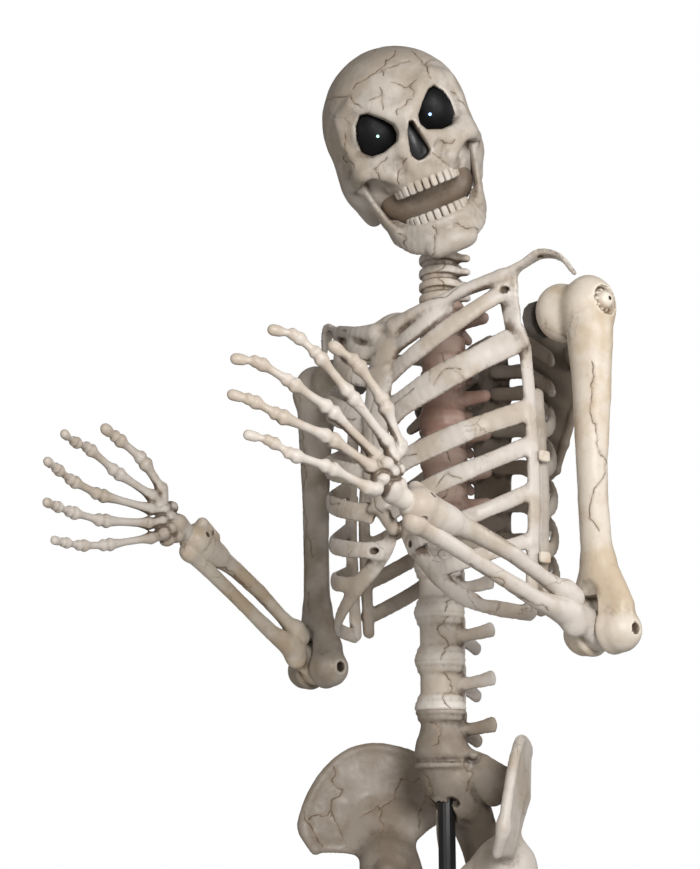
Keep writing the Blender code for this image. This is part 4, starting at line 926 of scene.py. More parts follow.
def forearm(side, material):
    _, elbow, wrist, out = limbAxes(side)
    line = wrist - elbow
    ahead = unit(line)
    lift = unit(np.cross(line, out)) * sides[side]
    flat = unit(ahead - out * (ahead @ out))
    low, high = np.minimum(elbow, wrist) - 0.075, np.maximum(elbow, wrist) + 0.075
    at = lambda share, up=0.0, aside=0.0: elbow + line * share + lift * up + out * aside
    clay = Clay(low, high, 0.0034)
    clay.rod([elbow - out * 0.0100, elbow + out * 0.0100], 0.0315, 0.004)
    clay.strap([elbow - flat * 0.004, elbow + flat * 0.060, elbow + ahead * 0.100], [0.0145, 0.0145, 0.018],
               [0.030, 0.027, 0.025], out, 0.008)
    clay.rod([elbow + ahead * 0.088 - lift * 0.006, at(0.34, -0.018), at(0.55, -0.020), at(0.80, -0.022),
              at(0.91, -0.023)], [0.024, 0.0155, 0.0130, 0.0140, 0.017], 0.012)
    clay.ball(at(0.930, -0.024), (0.019, 0.020, 0.020), blend=0.008)
    clay.ball(elbow + ahead * 0.070 - lift * 0.020, (0.016, 0.022, 0.020), blend=0.012)
    clay.rod([elbow - out * 0.12, elbow + out * 0.12], 0.0070, 0.002, True)
    for i, marks in enumerate((
            [(0.30, -70), (0.40, -84), (0.52, -70), (0.66, -86)],
            [(0.40, -84), (0.44, -110)],
            [(0.35, 60), (0.50, 74), (0.62, 60)],
    )):
        clay.crack(roundTheBone([elbow, wrist], out, marks, 0.03), 0.2, 140 + i)
    clay.skin("ulna_shell_" + side, material, "forearm_" + side, 0.0007, "ulna_" + side)
    clay = Clay(low, high, 0.0034)
    clay.rod([elbow + ahead * 0.092 + lift * 0.020, elbow + ahead * 0.108 + lift * 0.024], [0.024, 0.023],
             0.006)
    clay.rod([elbow + ahead * 0.112 + lift * 0.024, at(0.34, 0.025), at(0.50, 0.028, 0.002),
              at(0.68, 0.022), at(0.82, 0.012)], [0.017, 0.0130, 0.0145, 0.016, 0.022], 0.010)
    clay.rod([at(0.80, 0.012), wrist - ahead * 0.066 + lift * 0.006,
              wrist - ahead * 0.040 + lift * 0.004], [0.023, 0.029, 0.030], 0.012)
    clay.ball(wrist - ahead * 0.032 + lift * 0.004, (0.030, 0.029, 0.029), blend=0.010)
    clay.rod([at(0.86, 0.034, -0.01), at(0.95, 0.034, -0.01)], [0.010, 0.012], 0.008)
    seam = []
    for k in range(29):
        turn = k * math.tau / 28
        seam.append(wrist - ahead * 0.052 + lift * (0.005 + 0.0320 * math.cos(turn))
                    + out * 0.0320 * math.sin(turn))
    clay.rod(seam, 0.0022, 0.002, True)
    for turn in (0.9, 2.5, -1.2):
        spot = wrist - ahead * 0.038 + (lift * math.cos(turn) + out * math.sin(turn)) * 0.030 + lift * 0.004
        away = unit(spot - wrist + ahead * 0.038 - lift * 0.004)
        clay.rod([spot - away * 0.010, spot + away * 0.010], 0.0048, 0.002, True)
    clay.rod([wrist - ahead * 0.05, wrist + ahead * 0.05], 0.0105, 0.002, True)
    for i, marks in enumerate((
            [(0.30, 60), (0.42, 80), (0.55, 66), (0.70, 84), (0.80, 70)],
            [(0.42, 80), (0.45, 110)],
            [(0.60, 120), (0.72, 134), (0.84, 120)],
    )):
        clay.crack(roundTheBone([elbow, wrist], out, marks, 0.04), 0.2, 150 + i)
    clay.skin("radius_shell_" + side, material, "forearm_" + side, 0.0007, "radius_" + side)
    heads = facedPoints([elbow + out * 0.0545, elbow - out * 0.0545], [out, -out], (0, 0, 1))
    grown("elbow_bolts_" + side, heads, screwTree, {"Size": (0.0078, 0.0078, 0.0055), "Seed": 1}, zincSteel,
          f"upper_arm_{side}_body", "elbow_pin_" + side)


# each digit: its root beside the wrist (forward, up), then every bone's length in metres, how steeply
# it rises in degrees and how far its end leans towards the palm in metres
handDigits = {
    "left": {
        "thumb": ((0.003, 0.079), ((0.080, 64, 0.0), (0.078, 50, 0.010),
                                   (0.045, 29, 0.012))),
        "index": ((0.029, 0.083), ((0.106, 41, 0.0), (0.081, 42, 0.005),
                                   (0.044, 39, 0.012), (0.037, 7, 0.014))),
        "middle": ((0.051, 0.058), ((0.118, 33, 0.0), (0.078, 24, 0.006),
                                    (0.058, 26, 0.013), (0.034, 2, 0.014))),
        "ring": ((0.061, 0.041), ((0.096, 22, 0.0), (0.096, 13, 0.006),
                                  (0.046, 25, 0.013), (0.028, 14, 0.014))),
        "little": ((0.068, 0.007), ((0.086, 16, 0.0), (0.068, 9, 0.006),
                                    (0.037, 31, 0.012), (0.034, 12, 0.014))),
    },
    "right": {
        "thumb": ((0.051, 0.070), ((0.074, 48, 0.004), (0.070, 27, 0.006),
                                   (0.035, 19, 0.010))),
        "index": ((0.070, 0.056), ((0.097, 23, 0.004), (0.077, 25, 0.016),
                                   (0.045, -2, 0.030), (0.040, 6, 0.030))),
        "middle": ((0.072, 0.033), ((0.122, 6, 0.004), (0.069, 13, 0.016),
                                    (0.047, 13, 0.028), (0.034, 10, 0.022))),
        "ring": ((0.076, 0.006), ((0.110, -4, 0.004), (0.074, 4, 0.016),
                                  (0.046, 1, 0.028), (0.032, 0, 0.022))),
        "little": ((0.070, -0.020), ((0.108, -14, 0.004), (0.060, -8, 0.011),
                                     (0.045, -2, 0.020), (0.030, -2, 0.016))),
    },
}
wristPebbles = {
    "left": ((0.012, 0.020), (0.028, 0.012), (0.010, 0.045), (0.030, 0.038), (0.048, 0.024),
             (0.022, 0.062), (0.044, 0.048), (0.058, 0.008)),
    "right": ((0.018, -0.012), (0.018, 0.012), (0.035, -0.020), (0.038, 0.000), (0.038, 0.022),
              (0.030, 0.042), (0.055, -0.012), (0.055, 0.012), (0.050, 0.036)),
}


def hand(side, material):
    _, elbow, wrist, out = limbAxes(side)
    ahead = unit(wrist - elbow)
    chains = {}
    for name, (root, bones) in handDigits[side].items():
        points = [wrist + np.array((0, -root[0], root[1]))]
        for length, rise, lean in bones:
            rise = math.radians(rise)
            points.append(points[-1] + np.array((0, -math.cos(rise), math.sin(rise))) * length - out * lean)
        chains[name] = points
    corners = np.concatenate(list(chains.values()) + [[wrist]])
    clay = Clay(corners.min(0) - 0.045, corners.max(0) + 0.045, 0.0027)
    for i, (forward, up) in enumerate(wristPebbles[side]):
        spot = wrist + np.array((0.006 * math.sin(i * 2.3), -forward, up))
        clay.ball(spot, (0.0155, 0.0135, 0.0130), blend=0.0035)
        clay.ball(spot + out * 0.008, (0.0105, 0.0105, 0.0105), blend=0.0035)
        clay.ball(spot - out * 0.008, (0.0105, 0.0105, 0.0105), blend=0.0035)
    clay.rod([wrist - ahead * 0.002, wrist + ahead * 0.022], [0.017, 0.020], 0.005)
    for name, points in chains.items():
        for i, (a, b) in enumerate(zip(points, points[1:])):
            last = i == len(points) - 2
            thick = ((0.0125, 0.0118, 0.0105, 0.0092)[i]
                     * (1.08 if name == "thumb" else 0.92 if name == "little" else 1.0))
            run = b - a
            way = unit(run)
            head = a + way * thick * 0.55
            foot = b - way * thick * (0.35 if last else 0.85)
            clay.rod([head, a + run * 0.27, a + run * 0.62, foot - way * 0.004, foot],
                     [thick * 0.98, thick * 0.62, thick * 0.60, thick * 0.86,
                      thick * (0.80 if last else 0.98)], 0.0045)
            for aside in (1, -1):
                clay.ball(head + np.cross(way, out) * thick * 0.42 * aside, thick * 0.62, blend=0.003)
                clay.ball(foot + np.cross(way, out) * thick * 0.42 * aside,
                          thick * (0.5 if last else 0.66), blend=0.003)
            if last:
                clay.strap([b - way * 0.014, b - way * 0.002], [thick * 0.95, thick * 0.8], thick * 0.6,
                           np.cross(way, out), 0.004)
        base = points[0]
        near = min((wrist + np.array((0, -f, u)) for f, u in wristPebbles[side]),
                   key=lambda p: np.linalg.norm(p - base))
        clay.rod([base, near], [0.0105, 0.0105], 0.003)
    clay.rod([wrist - ahead * 0.06, wrist + ahead * 0.013], 0.0092, 0.002, True)
    clay.skin("hand_shell_" + side, material, "hand_" + side, 0.0006,
              *[f"{part}_{side}" for part in ("palm", *handDigits[side])])


print("arms")
# the far right upper arm takes the grey copy of the bone paint: painted shade
for side, material in (("left", creamBone), ("right", shadedGreyBone)):
    upperArm(side, material)
    scallopButton(side)
    forearm(side, creamBone if side == "right" else paleBone)
    hand(side, paleBone)


# ---- trunk: rib shells, spine, shoulder blades and pelvis
# from the breastbone round to the side seam, then half height and half thickness
frontRibs = (
    ((0.024, -0.142, 2.890), (0.072, -0.148, 2.900), (0.112, -0.138, 2.920), (0.140, -0.112, 2.950),
     0.016, 0.009),
    ((0.030, -0.152, 2.838), (0.090, -0.156, 2.856), (0.150, -0.138, 2.890), (0.200, -0.100, 2.930),
     (0.240, -0.060, 2.965), 0.017, 0.009),
    ((0.034, -0.162, 2.755), (0.090, -0.164, 2.772), (0.150, -0.148, 2.797), (0.205, -0.118, 2.824),
     (0.246, -0.050, 2.868), 0.027, 0.0095),
    ((0.034, -0.162, 2.645), (0.090, -0.166, 2.660), (0.150, -0.150, 2.678), (0.210, -0.114, 2.702),
     (0.256, -0.018, 2.743), 0.0215, 0.009),
    ((0.032, -0.152, 2.575), (0.090, -0.158, 2.588), (0.150, -0.146, 2.606), (0.212, -0.108, 2.632),
     (0.260, -0.018, 2.677), 0.018, 0.0085),
    ((0.040, -0.120, 2.508), (0.090, -0.138, 2.514), (0.150, -0.134, 2.526), (0.207, -0.106, 2.546),
     (0.260, -0.018, 2.591), 0.016, 0.0085),
    ((0.110, -0.122, 2.450), (0.165, -0.124, 2.458), (0.218, -0.092, 2.475), (0.256, -0.018, 2.502),
     0.015, 0.008),
)
costalArch = ((0.012, -0.112, 2.552), (0.034, -0.112, 2.520), (0.062, -0.114, 2.490), (0.112, -0.121, 2.445),
              (0.168, -0.115, 2.402), (0.218, -0.080, 2.378), (0.244, -0.018, 2.370))
breastbone = ((0, -0.130, 2.950), (0, -0.150, 2.870), (0, -0.166, 2.770), (0, -0.168, 2.670),
              (0, -0.156, 2.590), (0, -0.128, 2.545))


def chestFront():
    clay = Clay((-0.37, -0.20, 2.335), (0.37, 0.010, 3.055), 0.0038)
    clay.strap(smoothPath(breastbone, 3), [0.044, 0.036, 0.034, 0.036, 0.026, 0.014], 0.0115, (1, 0, 0),
               0.012)
    for z, y in ((2.935, -0.146), (2.845, -0.162), (2.755, -0.172), (2.700, -0.174), (2.645, -0.170),
                 (2.580, -0.162)):
        clay.rod([(-0.024, y, z), (0.024, y, z)], 0.0065, 0.010)
    for side in sides:
        for *points, height, thick in frontRibs:
            path = sidePath(side, 4, *points)
            clay.strap(path, [height * 1.20, height * 0.98, height * 1.06, height * 1.04, height * 0.90,
                              height * 0.98], thick * 0.80, (0, 0, 1), 0.007)
        arch = sidePath(side, 4, *costalArch)
        clay.strap(arch, [0.014, 0.021, 0.0195, 0.016, 0.015, 0.014], 0.0075, (0, 0, 1), 0.009)
        web = [(0.040, 2.512), (0.058, 2.520), (0.078, 2.505), (0.078, 2.478), (0.056, 2.490)]
        clay.plate([(x * sides[side], z) for x, z in web], -0.006, 0.006, 0.004, 0.008, False,
                   (0, -0.116, 0), ((1, 0, 0), (0, 0, 1), (0, -1, 0)))
        for x, z, w, h in ((0.052, 2.508, 0.009, 0.0055), (0.215, 2.400, 0.016, 0.008)):
            hole = oval(w, h, 16, (x, z))
            clay.plate([(u * sides[side], v) for u, v in hole], -0.06, 0.06, 0.002, 0.003, True,
                       (0, -0.105, 0), ((1, 0, 0), (0, 0, 1), (0, -1, 0)))
        seam = smoothPath([mirrored((x, -0.015, z), side)
                           for x, z in ((0.246, 2.868), (0.254, 2.760), (0.259, 2.580), (0.244, 2.372))], 6)
        clay.strap(seam, 0.0140, 0.0080, (0, 1, 0), 0.006)
        collar = sidePath(side, 3, (0.030, -0.140, 2.930), (0.095, -0.134, 2.946), (0.170, -0.102, 2.973),
                          (0.235, -0.062, 2.994))
        clay.rod(collar, [0.020, 0.016, 0.0125, 0.0125, 0.014], 0.012)
        tip = sidePath(side, 4, (0.235, -0.062, 2.994), (0.275, -0.044, 3.012), (0.308, -0.030, 3.026),
                       (0.340, -0.014, 3.014), (0.363, -0.003, 2.981))
        clay.strap(tip, [0.013, 0.013, 0.018, 0.018, 0.014], [0.010, 0.0065, 0.0060, 0.0050, 0.0045],
                   (0.5, -1, 0.1), 0.009)
        bracket = sidePath(side, 4, (0.240, -0.054, 2.992), (0.243, -0.046, 2.930), (0.248, -0.034, 2.862))
        clay.strap(bracket, [0.024, 0.0195, 0.019, 0.024], 0.0070, (1, 0.3, 0), 0.012)
        clay.rod([mirrored((0.306, -0.032, 3.055), side), mirrored((0.306, -0.030, 2.990), side)], 0.0046,
                 0.003, True)
        clay.rod([mirrored((0.243, -0.09, 2.966), side), mirrored((0.243, 0.0, 2.966), side)], 0.0060,
                 0.003, True)
        block = mirrored((0.261, 0, 2.913), side)
        clay.rod([block, mirrored((0.290, 0, 2.913), side)], 0.0385, 0.003, True)
    clay.plate(square(0.4), -0.0010, 0.0125, 0.0005, 0.0015, True,
               (0, 0, 2.7), ((1, 0, 0), (0, 0, 1), (0, 1, 0)))
    clay.rod([(0, 0.004, 2.56), (0, 0.004, 3.02)], 0.0560, 0.003, True)
    front = (0, 1, 0)
    clay.cracks((
        [(0.050, 2.762), (0.075, 2.772), (0.105, 2.786)],
        [(0.15, 2.79), (0.17, 2.815), (0.195, 2.812)],
        [(-0.06, 2.760), (-0.10, 2.775), (-0.13, 2.765)],
        [(0.060, 2.650), (0.085, 2.662), (0.110, 2.662)],
        [(0.15, 2.600), (0.17, 2.622), (0.19, 2.610)],
        [(-0.12, 2.605), (-0.16, 2.612), (-0.18, 2.640)],
        [(-0.01, 2.83), (0.004, 2.79), (-0.006, 2.74), (0.008, 2.70)],
        [(0.0, 2.65), (-0.01, 2.61), (0.005, 2.57)],
        [(0.12, 2.965), (0.15, 2.962), (0.17, 2.978)],
        [(-0.13, 2.96), (-0.17, 2.975)],
        [(-0.20, 2.70), (-0.22, 2.715), (-0.235, 2.705)],
    ), 0.10, 200, front, lambda x, z: (x, -0.3, z))
    clay.skin("rib_shell_front", paleBone, "stand_and_torso", 0.0008, "rib_cage_front")


def chestBack():
    clay = Clay((-0.285, -0.010, 2.345), (0.285, 0.175, 3.00), 0.0038)
    for side in sides:
        for z in (2.945, 2.885):   # the top two end under the shoulder blade
            path = sidePath(side, 4, (0.030, 0.122, z), (0.062, 0.132, z - 0.004),
                            (0.105, 0.130, z - 0.014), (0.178, 0.114, z - 0.060),
                            (0.203, 0.100, z - 0.080))
            clay.strap(path, [0.013, 0.014, 0.0155, 0.014, 0.010], [0.011, 0.009, 0.0085, 0.007],
                       (0, 0, 1), 0.009)
        for z in (2.84, 2.765, 2.69, 2.615, 2.545):
            drop = 0.135
            path = sidePath(side, 4, (0.030, 0.122, z), (0.062, 0.132, z - 0.004),
                            (0.105, 0.130, z - 0.014), (0.178, 0.113, z - drop * 0.5),
                            (0.232, 0.062, z - drop * 0.82), (0.250, 0.016, z - drop))
            clay.strap(path, [0.013, 0.014, 0.0155, 0.016, 0.015, 0.015], [0.011, 0.009, 0.0085, 0.008],
                       (0, 0, 1), 0.009)
        seam = smoothPath([mirrored((x, 0.015, z), side)
                           for x, z in ((0.246, 2.780), (0.250, 2.680), (0.253, 2.580), (0.240, 2.378))], 6)
        clay.strap(seam, 0.0140, 0.0080, (0, 1, 0), 0.006)
    clay.strap(smoothPath([(0, 0.134, 2.955), (0, 0.138, 2.780), (0, 0.134, 2.545)], 4),
               [0.050, 0.054, 0.050], 0.0105, (1, 0, 0), 0.010)
    for z in np.arange(2.60, 2.96, 0.0585):
        clay.strap([(0, 0.140, z + 0.012), (0, 0.151, z - 0.012)], [0.007, 0.005], [0.012, 0.012],
                   (1, 0, 0), 0.010)
    clay.plate(square(0.4), -0.0125, 0.0010, 0.0005, 0.0015, True,
               (0, 0, 2.7), ((1, 0, 0), (0, 0, 1), (0, 1, 0)))
    clay.rod([(0, 0.004, 2.3), (0, 0.004, 3.1)], 0.060, 0.003, True)
    clay.cracks((
        [(0.08, 2.86), (0.11, 2.88), (0.14, 2.86)],
        [(-0.09, 2.72), (-0.12, 2.735), (-0.15, 2.71)],
        [(0.01, 2.93), (-0.01, 2.88), (0.015, 2.83), (0.0, 2.78)],
        [(-0.02, 2.72), (0.01, 2.67), (-0.01, 2.62)],
        [(0.16, 2.68), (0.19, 2.665), (0.21, 2.63)],
    ), 0.2, 230, (0, -1, 0), lambda x, z: (x, 0.3, z))
    # the back rib shell takes the grey copy of the bone paint: painted shade
    clay.skin("rib_shell_back", shadedGreyBone, "stand_and_torso", 0.0008, "rib_cage_back")


def spines():
    lumbar = Clay((-0.125, -0.09, 2.192), (0.125, 0.145, 2.575), 0.0036)
    sacrum = Clay((-0.125, -0.09, 1.835), (0.125, 0.145, 2.232), 0.0036)
    levels = [2.135, 2.215, 2.305, 2.395, 2.485, 2.561]
    for z0, z1 in zip(levels, levels[1:]):
        clay = sacrum if z0 < 2.2 else lumbar
        clay.rod([(0, -0.012, z0 + 0.004), (0, -0.012, z1 - 0.004)], 0.0375, 0.004)
        for z, wide in ((z0 + 0.008, 0.0490), (z0 + 0.019, 0.0450), (z1 - 0.008, 0.0490),
                        (z1 - 0.019, 0.0450)):
            clay.disc((0, -0.012, z), wide, wide * 0.93, 0.0045, 0.0035, 0.007)
    for z in levels[:-1]:
        clay = sacrum if z < 2.2 else lumbar
        clay.disc((0, -0.012, z), 0.0505, 0.0475, 0.0048, 0.003, 0.003)
    for z0, z1 in zip(levels, levels[1:]):
        clay = sacrum if z0 < 2.2 else lumbar
        z = (z0 + z1) / 2
        for sign in (1, -1):
            clay.strap([(0.020 * sign, 0.006, z), (0.044 * sign, 0.020, z + 0.001),
                        (0.066 * sign, 0.030, z + 0.004), (0.088 * sign, 0.038, z + 0.009)],
                       [0.024, 0.0115, 0.0125, 0.0150], [0.013, 0.0085, 0.0070, 0.0060], (0, 0, 1), 0.008)
            clay.rod([(0.014 * sign, 0.024, z - 0.030), (0.014 * sign, 0.028, z + 0.030)], [0.012, 0.011],
                     0.010)
        clay.strap([(0, 0.030, z), (0, 0.062, z - 0.006), (0, 0.083, z - 0.018)], [0.016, 0.015, 0.013],
                   [0.010, 0.006, 0.008], (0, 0, 1), 0.010)
    clay = sacrum
    clay.strap([(0, -0.008, 2.140), (0, -0.008, 2.135), (0, 0.002, 2.085), (0, 0.026, 2.040)],
               [0.048, 0.052, 0.058, 0.050], [0.042, 0.046, 0.040, 0.030], (1, 0, 0), 0.008)
    for z, wide in ((2.128, 0.0560), (2.110, 0.0590)):
        clay.disc((0, -0.006, z), wide, 0.050, 0.0045, 0.0035, 0.006)
    for sign in (1, -1):
        wing = [(0.020 * sign, 0.020, 2.110), (0.058 * sign, 0.030, 2.098), (0.092 * sign, 0.050, 2.070)]
        clay.strap(wing, [0.036, 0.034, 0.040], [0.026, 0.022, 0.018], (0, 0.2, 1), 0.010)
        clay.strap([(0.030 * sign, 0.004, 2.140), (0.060 * sign, 0.012, 2.128)], [0.010, 0.008],
                   [0.012, 0.010], (0, 0, 1), 0.006)
        for z, x in ((2.045, 0.026), (2.005, 0.022), (1.968, 0.018)):
            clay.ball((x * sign, -0.006 + (2.045 - z) * 0.9, z), (0.0075, 0.014, 0.0085), blend=0.008,
                      carve=True)
    clay.strap(smoothPath([(0, 0.040, 2.05), (0, 0.075, 1.985), (0, 0.085, 1.920), (0, 0.065, 1.865)], 3),
               [0.066, 0.052, 0.034, 0.014], [0.028, 0.021, 0.016, 0.010], (1, 0, 0), 0.012)
    for bone in (clay, lumbar):
        bone.rod([(0, 0, 1.80), (0, 0, 2.70)], poleBore, 0.002, True)
        bone.rod([(-0.032, 0.006, 1.90), (-0.032, 0.006, 2.034)], 0.0045, 0.002, True)
    front = unit((-0.75, 0.62, 0.1))
    for i, line in enumerate((
            [(0.0, 2.54), (0.012, 2.52), (-0.006, 2.505), (0.008, 2.49)],
            [(0.018, 2.46), (0.004, 2.44), (0.020, 2.42), (0.008, 2.40)],
            [(0.010, 2.385), (-0.006, 2.36), (0.012, 2.34), (-0.002, 2.31)],
            [(0.006, 2.28), (0.018, 2.26), (0.000, 2.24), (0.012, 2.22)],
            [(-0.02, 2.19), (-0.004, 2.17), (-0.018, 2.15)],
            [(0.04, 2.12), (0.055, 2.10), (0.045, 2.07)],
            [(-0.03, 2.09), (-0.02, 2.06), (-0.036, 2.03)],
    )):
        (lumbar if i < 4 else clay).crack([(0.62 * a, 0.75 * a - 0.01, z) for a, z in line],
                                          0.22, 250 + i, front)
    lumbar.skin("lumbar_spine", paleBone, "stand_and_torso", 0.0008, "spine_lower")
    # the sacrum takes the dark copy of the bone paint: painted shade
    clay.skin("sacrum_shell", shadedDarkBone, "stand_and_torso", 0.0010)
    chest = Clay((-0.105, -0.075, 2.556), (0.105, 0.125, 3.022), 0.0036)
    discs = [2.567, 2.62, 2.695, 2.77, 2.845, 2.92, 3.010]
    for z0, z1 in zip(discs, discs[1:]):
        chest.rod([(0, 0.004, z0 + 0.004), (0, 0.004, z1 - 0.004)], 0.0400, 0.004)
        for z in (z0 + 0.010, z1 - 0.010):
            chest.disc((0, 0.004, z), 0.046, 0.043, 0.006, 0.004, 0.012)
        z = (z0 + z1) / 2
        for sign in (1, -1):
            chest.strap([(0.018 * sign, 0.016, z), (0.050 * sign, 0.026, z + 0.004),
                         (0.083 * sign, 0.036, z + 0.004)], [0.020, 0.015, 0.013], [0.014, 0.010, 0.011],
                        (0, 0, 1), 0.012)
        chest.strap([(0, 0.030, z), (0, 0.060, z - 0.008), (0, 0.076, z - 0.016)], [0.016, 0.014, 0.010],
                    [0.010, 0.007, 0.007], (0, 0, 1), 0.010)
    for z in discs[1:-1]:
        chest.disc((0, 0.004, z), 0.048, 0.045, 0.004, 0.003, 0.003)
    chest.rod([(0, 0, 2.5), (0, 0, 2.603)], poleBore, 0.002, True)
    chest.cracks((
        [(0.0, 2.90), (0.014, 2.87), (-0.004, 2.84)],
        [(0.01, 2.75), (-0.006, 2.72), (0.012, 2.69)],
        [(-0.01, 2.65), (0.008, 2.63), (-0.004, 2.60)],
    ), 0.22, 270, front, lambda a, z: (0.62 * a, 0.75 * a, z))
    chest.skin("chest_spine", pinkBone, "stand_and_torso", 0.0012, "spine_upper")
    neck = Clay((-0.075, -0.06, 3.004), (0.075, 0.065, 3.134), 0.0028)
    for z in (3.020, 3.046, 3.074, 3.103):
        neck.disc((0, 0, z), 0.043, 0.040, 0.0085, 0.005, 0.004)
        for sign in (1, -1):
            neck.strap([(0.025 * sign, 0.012, z), (0.050 * sign, 0.024, z - 0.004)], [0.009, 0.0075],
                       [0.012, 0.010], (0, 0, 1), 0.008)
        neck.strap([(0, 0.030, z), (0, 0.052, z - 0.006)], [0.008, 0.006], [0.010, 0.008], (0, 0, 1), 0.006)
    neck.rod([(0, 0, 3.015), (0, 0, 3.119)], 0.0345, 0.003)
    neck.cracks((
        [(0.0, 3.11), (0.01, 3.09), (-0.008, 3.07), (0.006, 3.04)],
    ), 0.2, 280, front, lambda a, z: (0.62 * a, 0.75 * a, z))
    neck.skin("neck_bones", paleBone, "stand_and_torso", 0.0008, "neck")


def shoulderBlade(side, material):
    sign = sides[side]
    clay = Clay(np.minimum((0.050 * sign, -0.005, 2.635), (0.385 * sign, -0.005, 2.635)),
                np.maximum((0.050 * sign, 0.185, 3.03), (0.385 * sign, 0.185, 3.03)), 0.0034)
    outline = [(0.078, 2.958), (0.140, 2.966), (0.212, 2.950), (0.240, 2.912), (0.240, 2.862),
               (0.226, 2.812), (0.204, 2.766), (0.180, 2.716), (0.156, 2.668), (0.138, 2.660),
               (0.124, 2.678), (0.104, 2.760), (0.084, 2.860)]
    clay.plate([(x * sign, z) for x, z in outline], -0.0055, 0.0055, 0.004, 0.006, False, (0, 0.156, 0),
               ((1, 0, 0), (0, 0, 1), (0, -1, 0)))
    for a, b in zip(outline, outline[1:] + outline[:1]):
        clay.rod([(a[0] * sign, 0.156, a[1]), (b[0] * sign, 0.156, b[1])], 0.0068, 0.008)
    ridge = sidePath(side, 4, (0.085, 0.166, 2.925), (0.180, 0.160, 2.957), (0.262, 0.124, 2.976),
                     (0.316, 0.078, 2.978), (0.340, 0.042, 2.968), (0.346, 0.008, 2.960))
    clay.strap(ridge, [0.008, 0.011, 0.012, 0.011, 0.009, 0.008], [0.008, 0.0075, 0.006, 0.0045],
               (0, 0.4, 1), 0.010)
    clay.ball(mirrored((0.222, 0.140, 2.885), side), (0.014, 0.016, 0.026), blend=0.014)
    clay.plate(square(0.5), -0.03, 0.0012, 0.0005, 0.0015, True,
               (0, 0, 2.8), ((1, 0, 0), (0, 0, 1), (0, 1, 0)))
    clay.cracks((
        [(0.10, 2.94), (0.12, 2.915), (0.11, 2.90)],
        [(0.20, 2.93), (0.19, 2.90), (0.205, 2.87)],
        [(0.13, 2.84), (0.15, 2.82), (0.14, 2.80)],
    ), 0.2, 290, (0, -1, 0), lambda x, z: (x * sign, 0.3, z))
    clay.skin("shoulder_blade_" + side, material, "stand_and_torso", 0.0006, "scapula_" + side)


def hipBone(side, material):
    sign = sides[side]
    socket = np.array(mirrored((0.155, -0.005, 1.925), side))
    crest = [(0.075, 0.090, 2.030), (0.095, 0.094, 2.090), (0.150, 0.064, 2.130), (0.200, 0.000, 2.150),
             (0.240, -0.055, 2.130), (0.266, -0.100, 2.070), (0.273, -0.124, 2.000),
             (0.246, -0.114, 1.955)]
    rim = sidePath(side, 4, *crest)
    clay = Clay(np.minimum((0.001 * sign, -0.185, 1.70), (0.295 * sign, -0.185, 1.70)),
                np.maximum((0.001 * sign, 0.125, 2.18), (0.295 * sign, 0.125, 2.18)), 0.0040)
    hub = socket + np.array((0, 0, 0.030))
    for near, far in zip(rim, rim[1:]):
        middle = (near + far) / 2
        run = far - near
        apart = np.linalg.norm(run) * 0.80
        bowl = hub * 0.45 + middle * 0.55 + np.array((0.012 * sign, 0.010, 0))
        clay.strap([hub, bowl, middle], [0.020, apart * 0.9, apart], [0.014, 0.0068, 0.0070], run, 0.006)
    clay.rod(rim, [0.009, 0.009, 0.0082, 0.0082, 0.0076, 0.0082, 0.009, 0.008], 0.006)
    clay.ball(socket, (0.056, 0.060, 0.060), blend=0.020)
    clay.ball(mirrored((0.165, 0, 1.89), side), 0.049, blend=0.004, carve=True)
    front = np.array(mirrored((0.018, -0.125, 1.845), side))
    seat = np.array(mirrored((0.110, 0.035, 1.745), side))
    clay.rod(smoothPath([socket + np.array((-0.030 * sign, -0.02, 0)),
                         mirrored((0.095, -0.085, 1.895), side), front], 3), [0.030, 0.018, 0.018, 0.024],
             0.014)
    clay.rod(smoothPath([socket + np.array((-0.025 * sign, 0.02, -0.02)),
                         mirrored((0.128, 0.045, 1.830), side), seat], 3), [0.032, 0.024, 0.024, 0.028],
             0.014)
    clay.rod(smoothPath([seat, mirrored((0.075, -0.045, 1.765), side), front], 3),
             [0.024, 0.015, 0.014, 0.020], 0.012)
    clay.ball(mirrored((0.270, -0.120, 2.000), side), (0.011, 0.013, 0.018), blend=0.010)
    clay.plate(square(0.5), -0.30, 0.0012, 0.0005, 0.001, True, (0, 0, 1.9),
               ((0, 1, 0), (0, 0, 1), (sign, 0, 0)))
    for low, high, wide, deep in ((2.04, 2.17, 0.112, 0.076), (1.84, 2.06, 0.074, 0.050)):
        clay.plate([(-wide, low), (wide, low), (wide, high), (-wide, high)], -deep, deep, 0.010, 0.004, True,
                   (0, 0.030 if low > 2 else 0.075, 0), ((1, 0, 0), (0, 0, 1), (0, 1, 0)))
    clay.cracks((
        [(0.10, 0.05, 2.12), (0.15, 0.02, 2.09), (0.17, -0.01, 2.04), (0.16, -0.02, 1.99)],
        [(0.17, -0.01, 2.04), (0.20, -0.04, 2.02)],
        [(0.23, -0.08, 2.11), (0.215, -0.07, 2.07), (0.225, -0.09, 2.03), (0.21, -0.08, 1.99)],
        [(0.225, -0.09, 2.03), (0.245, -0.12, 2.02)],
        [(0.255, -0.14, 2.03), (0.235, -0.12, 2.00), (0.225, -0.11, 1.97)],
        [(0.05, -0.11, 1.87), (0.06, -0.10, 1.85)],
        [(0.12, 0.06, 2.06), (0.13, 0.05, 2.03), (0.12, 0.04, 2.00)],
    ), 0.2, 300 + 20 * sign, lay=lambda *point: mirrored(point, side))
    clay.skin("hip_shell_" + side, material, "stand_and_torso", 0.0010, "hip_bone_" + side)


print("trunk")
chestFront()
chestBack()
spines()
for side in sides:
    # the shoulder blades take the dark copy of the bone paint: painted shade
    shoulderBlade(side, shadedDarkBone)
    # the right hip bone takes the dark copy and the left stays pale: painted shade on the far wing
    hipBone(side, shadedDarkBone if side == "right" else paleBone)


# ---- legs and feet
legPlan = {"hip": (0.165, 0, 1.89), "knee": (0.205, 0, 1.07), "ankle": (0.230, 0.045, 0.17), "sole": 0.041}


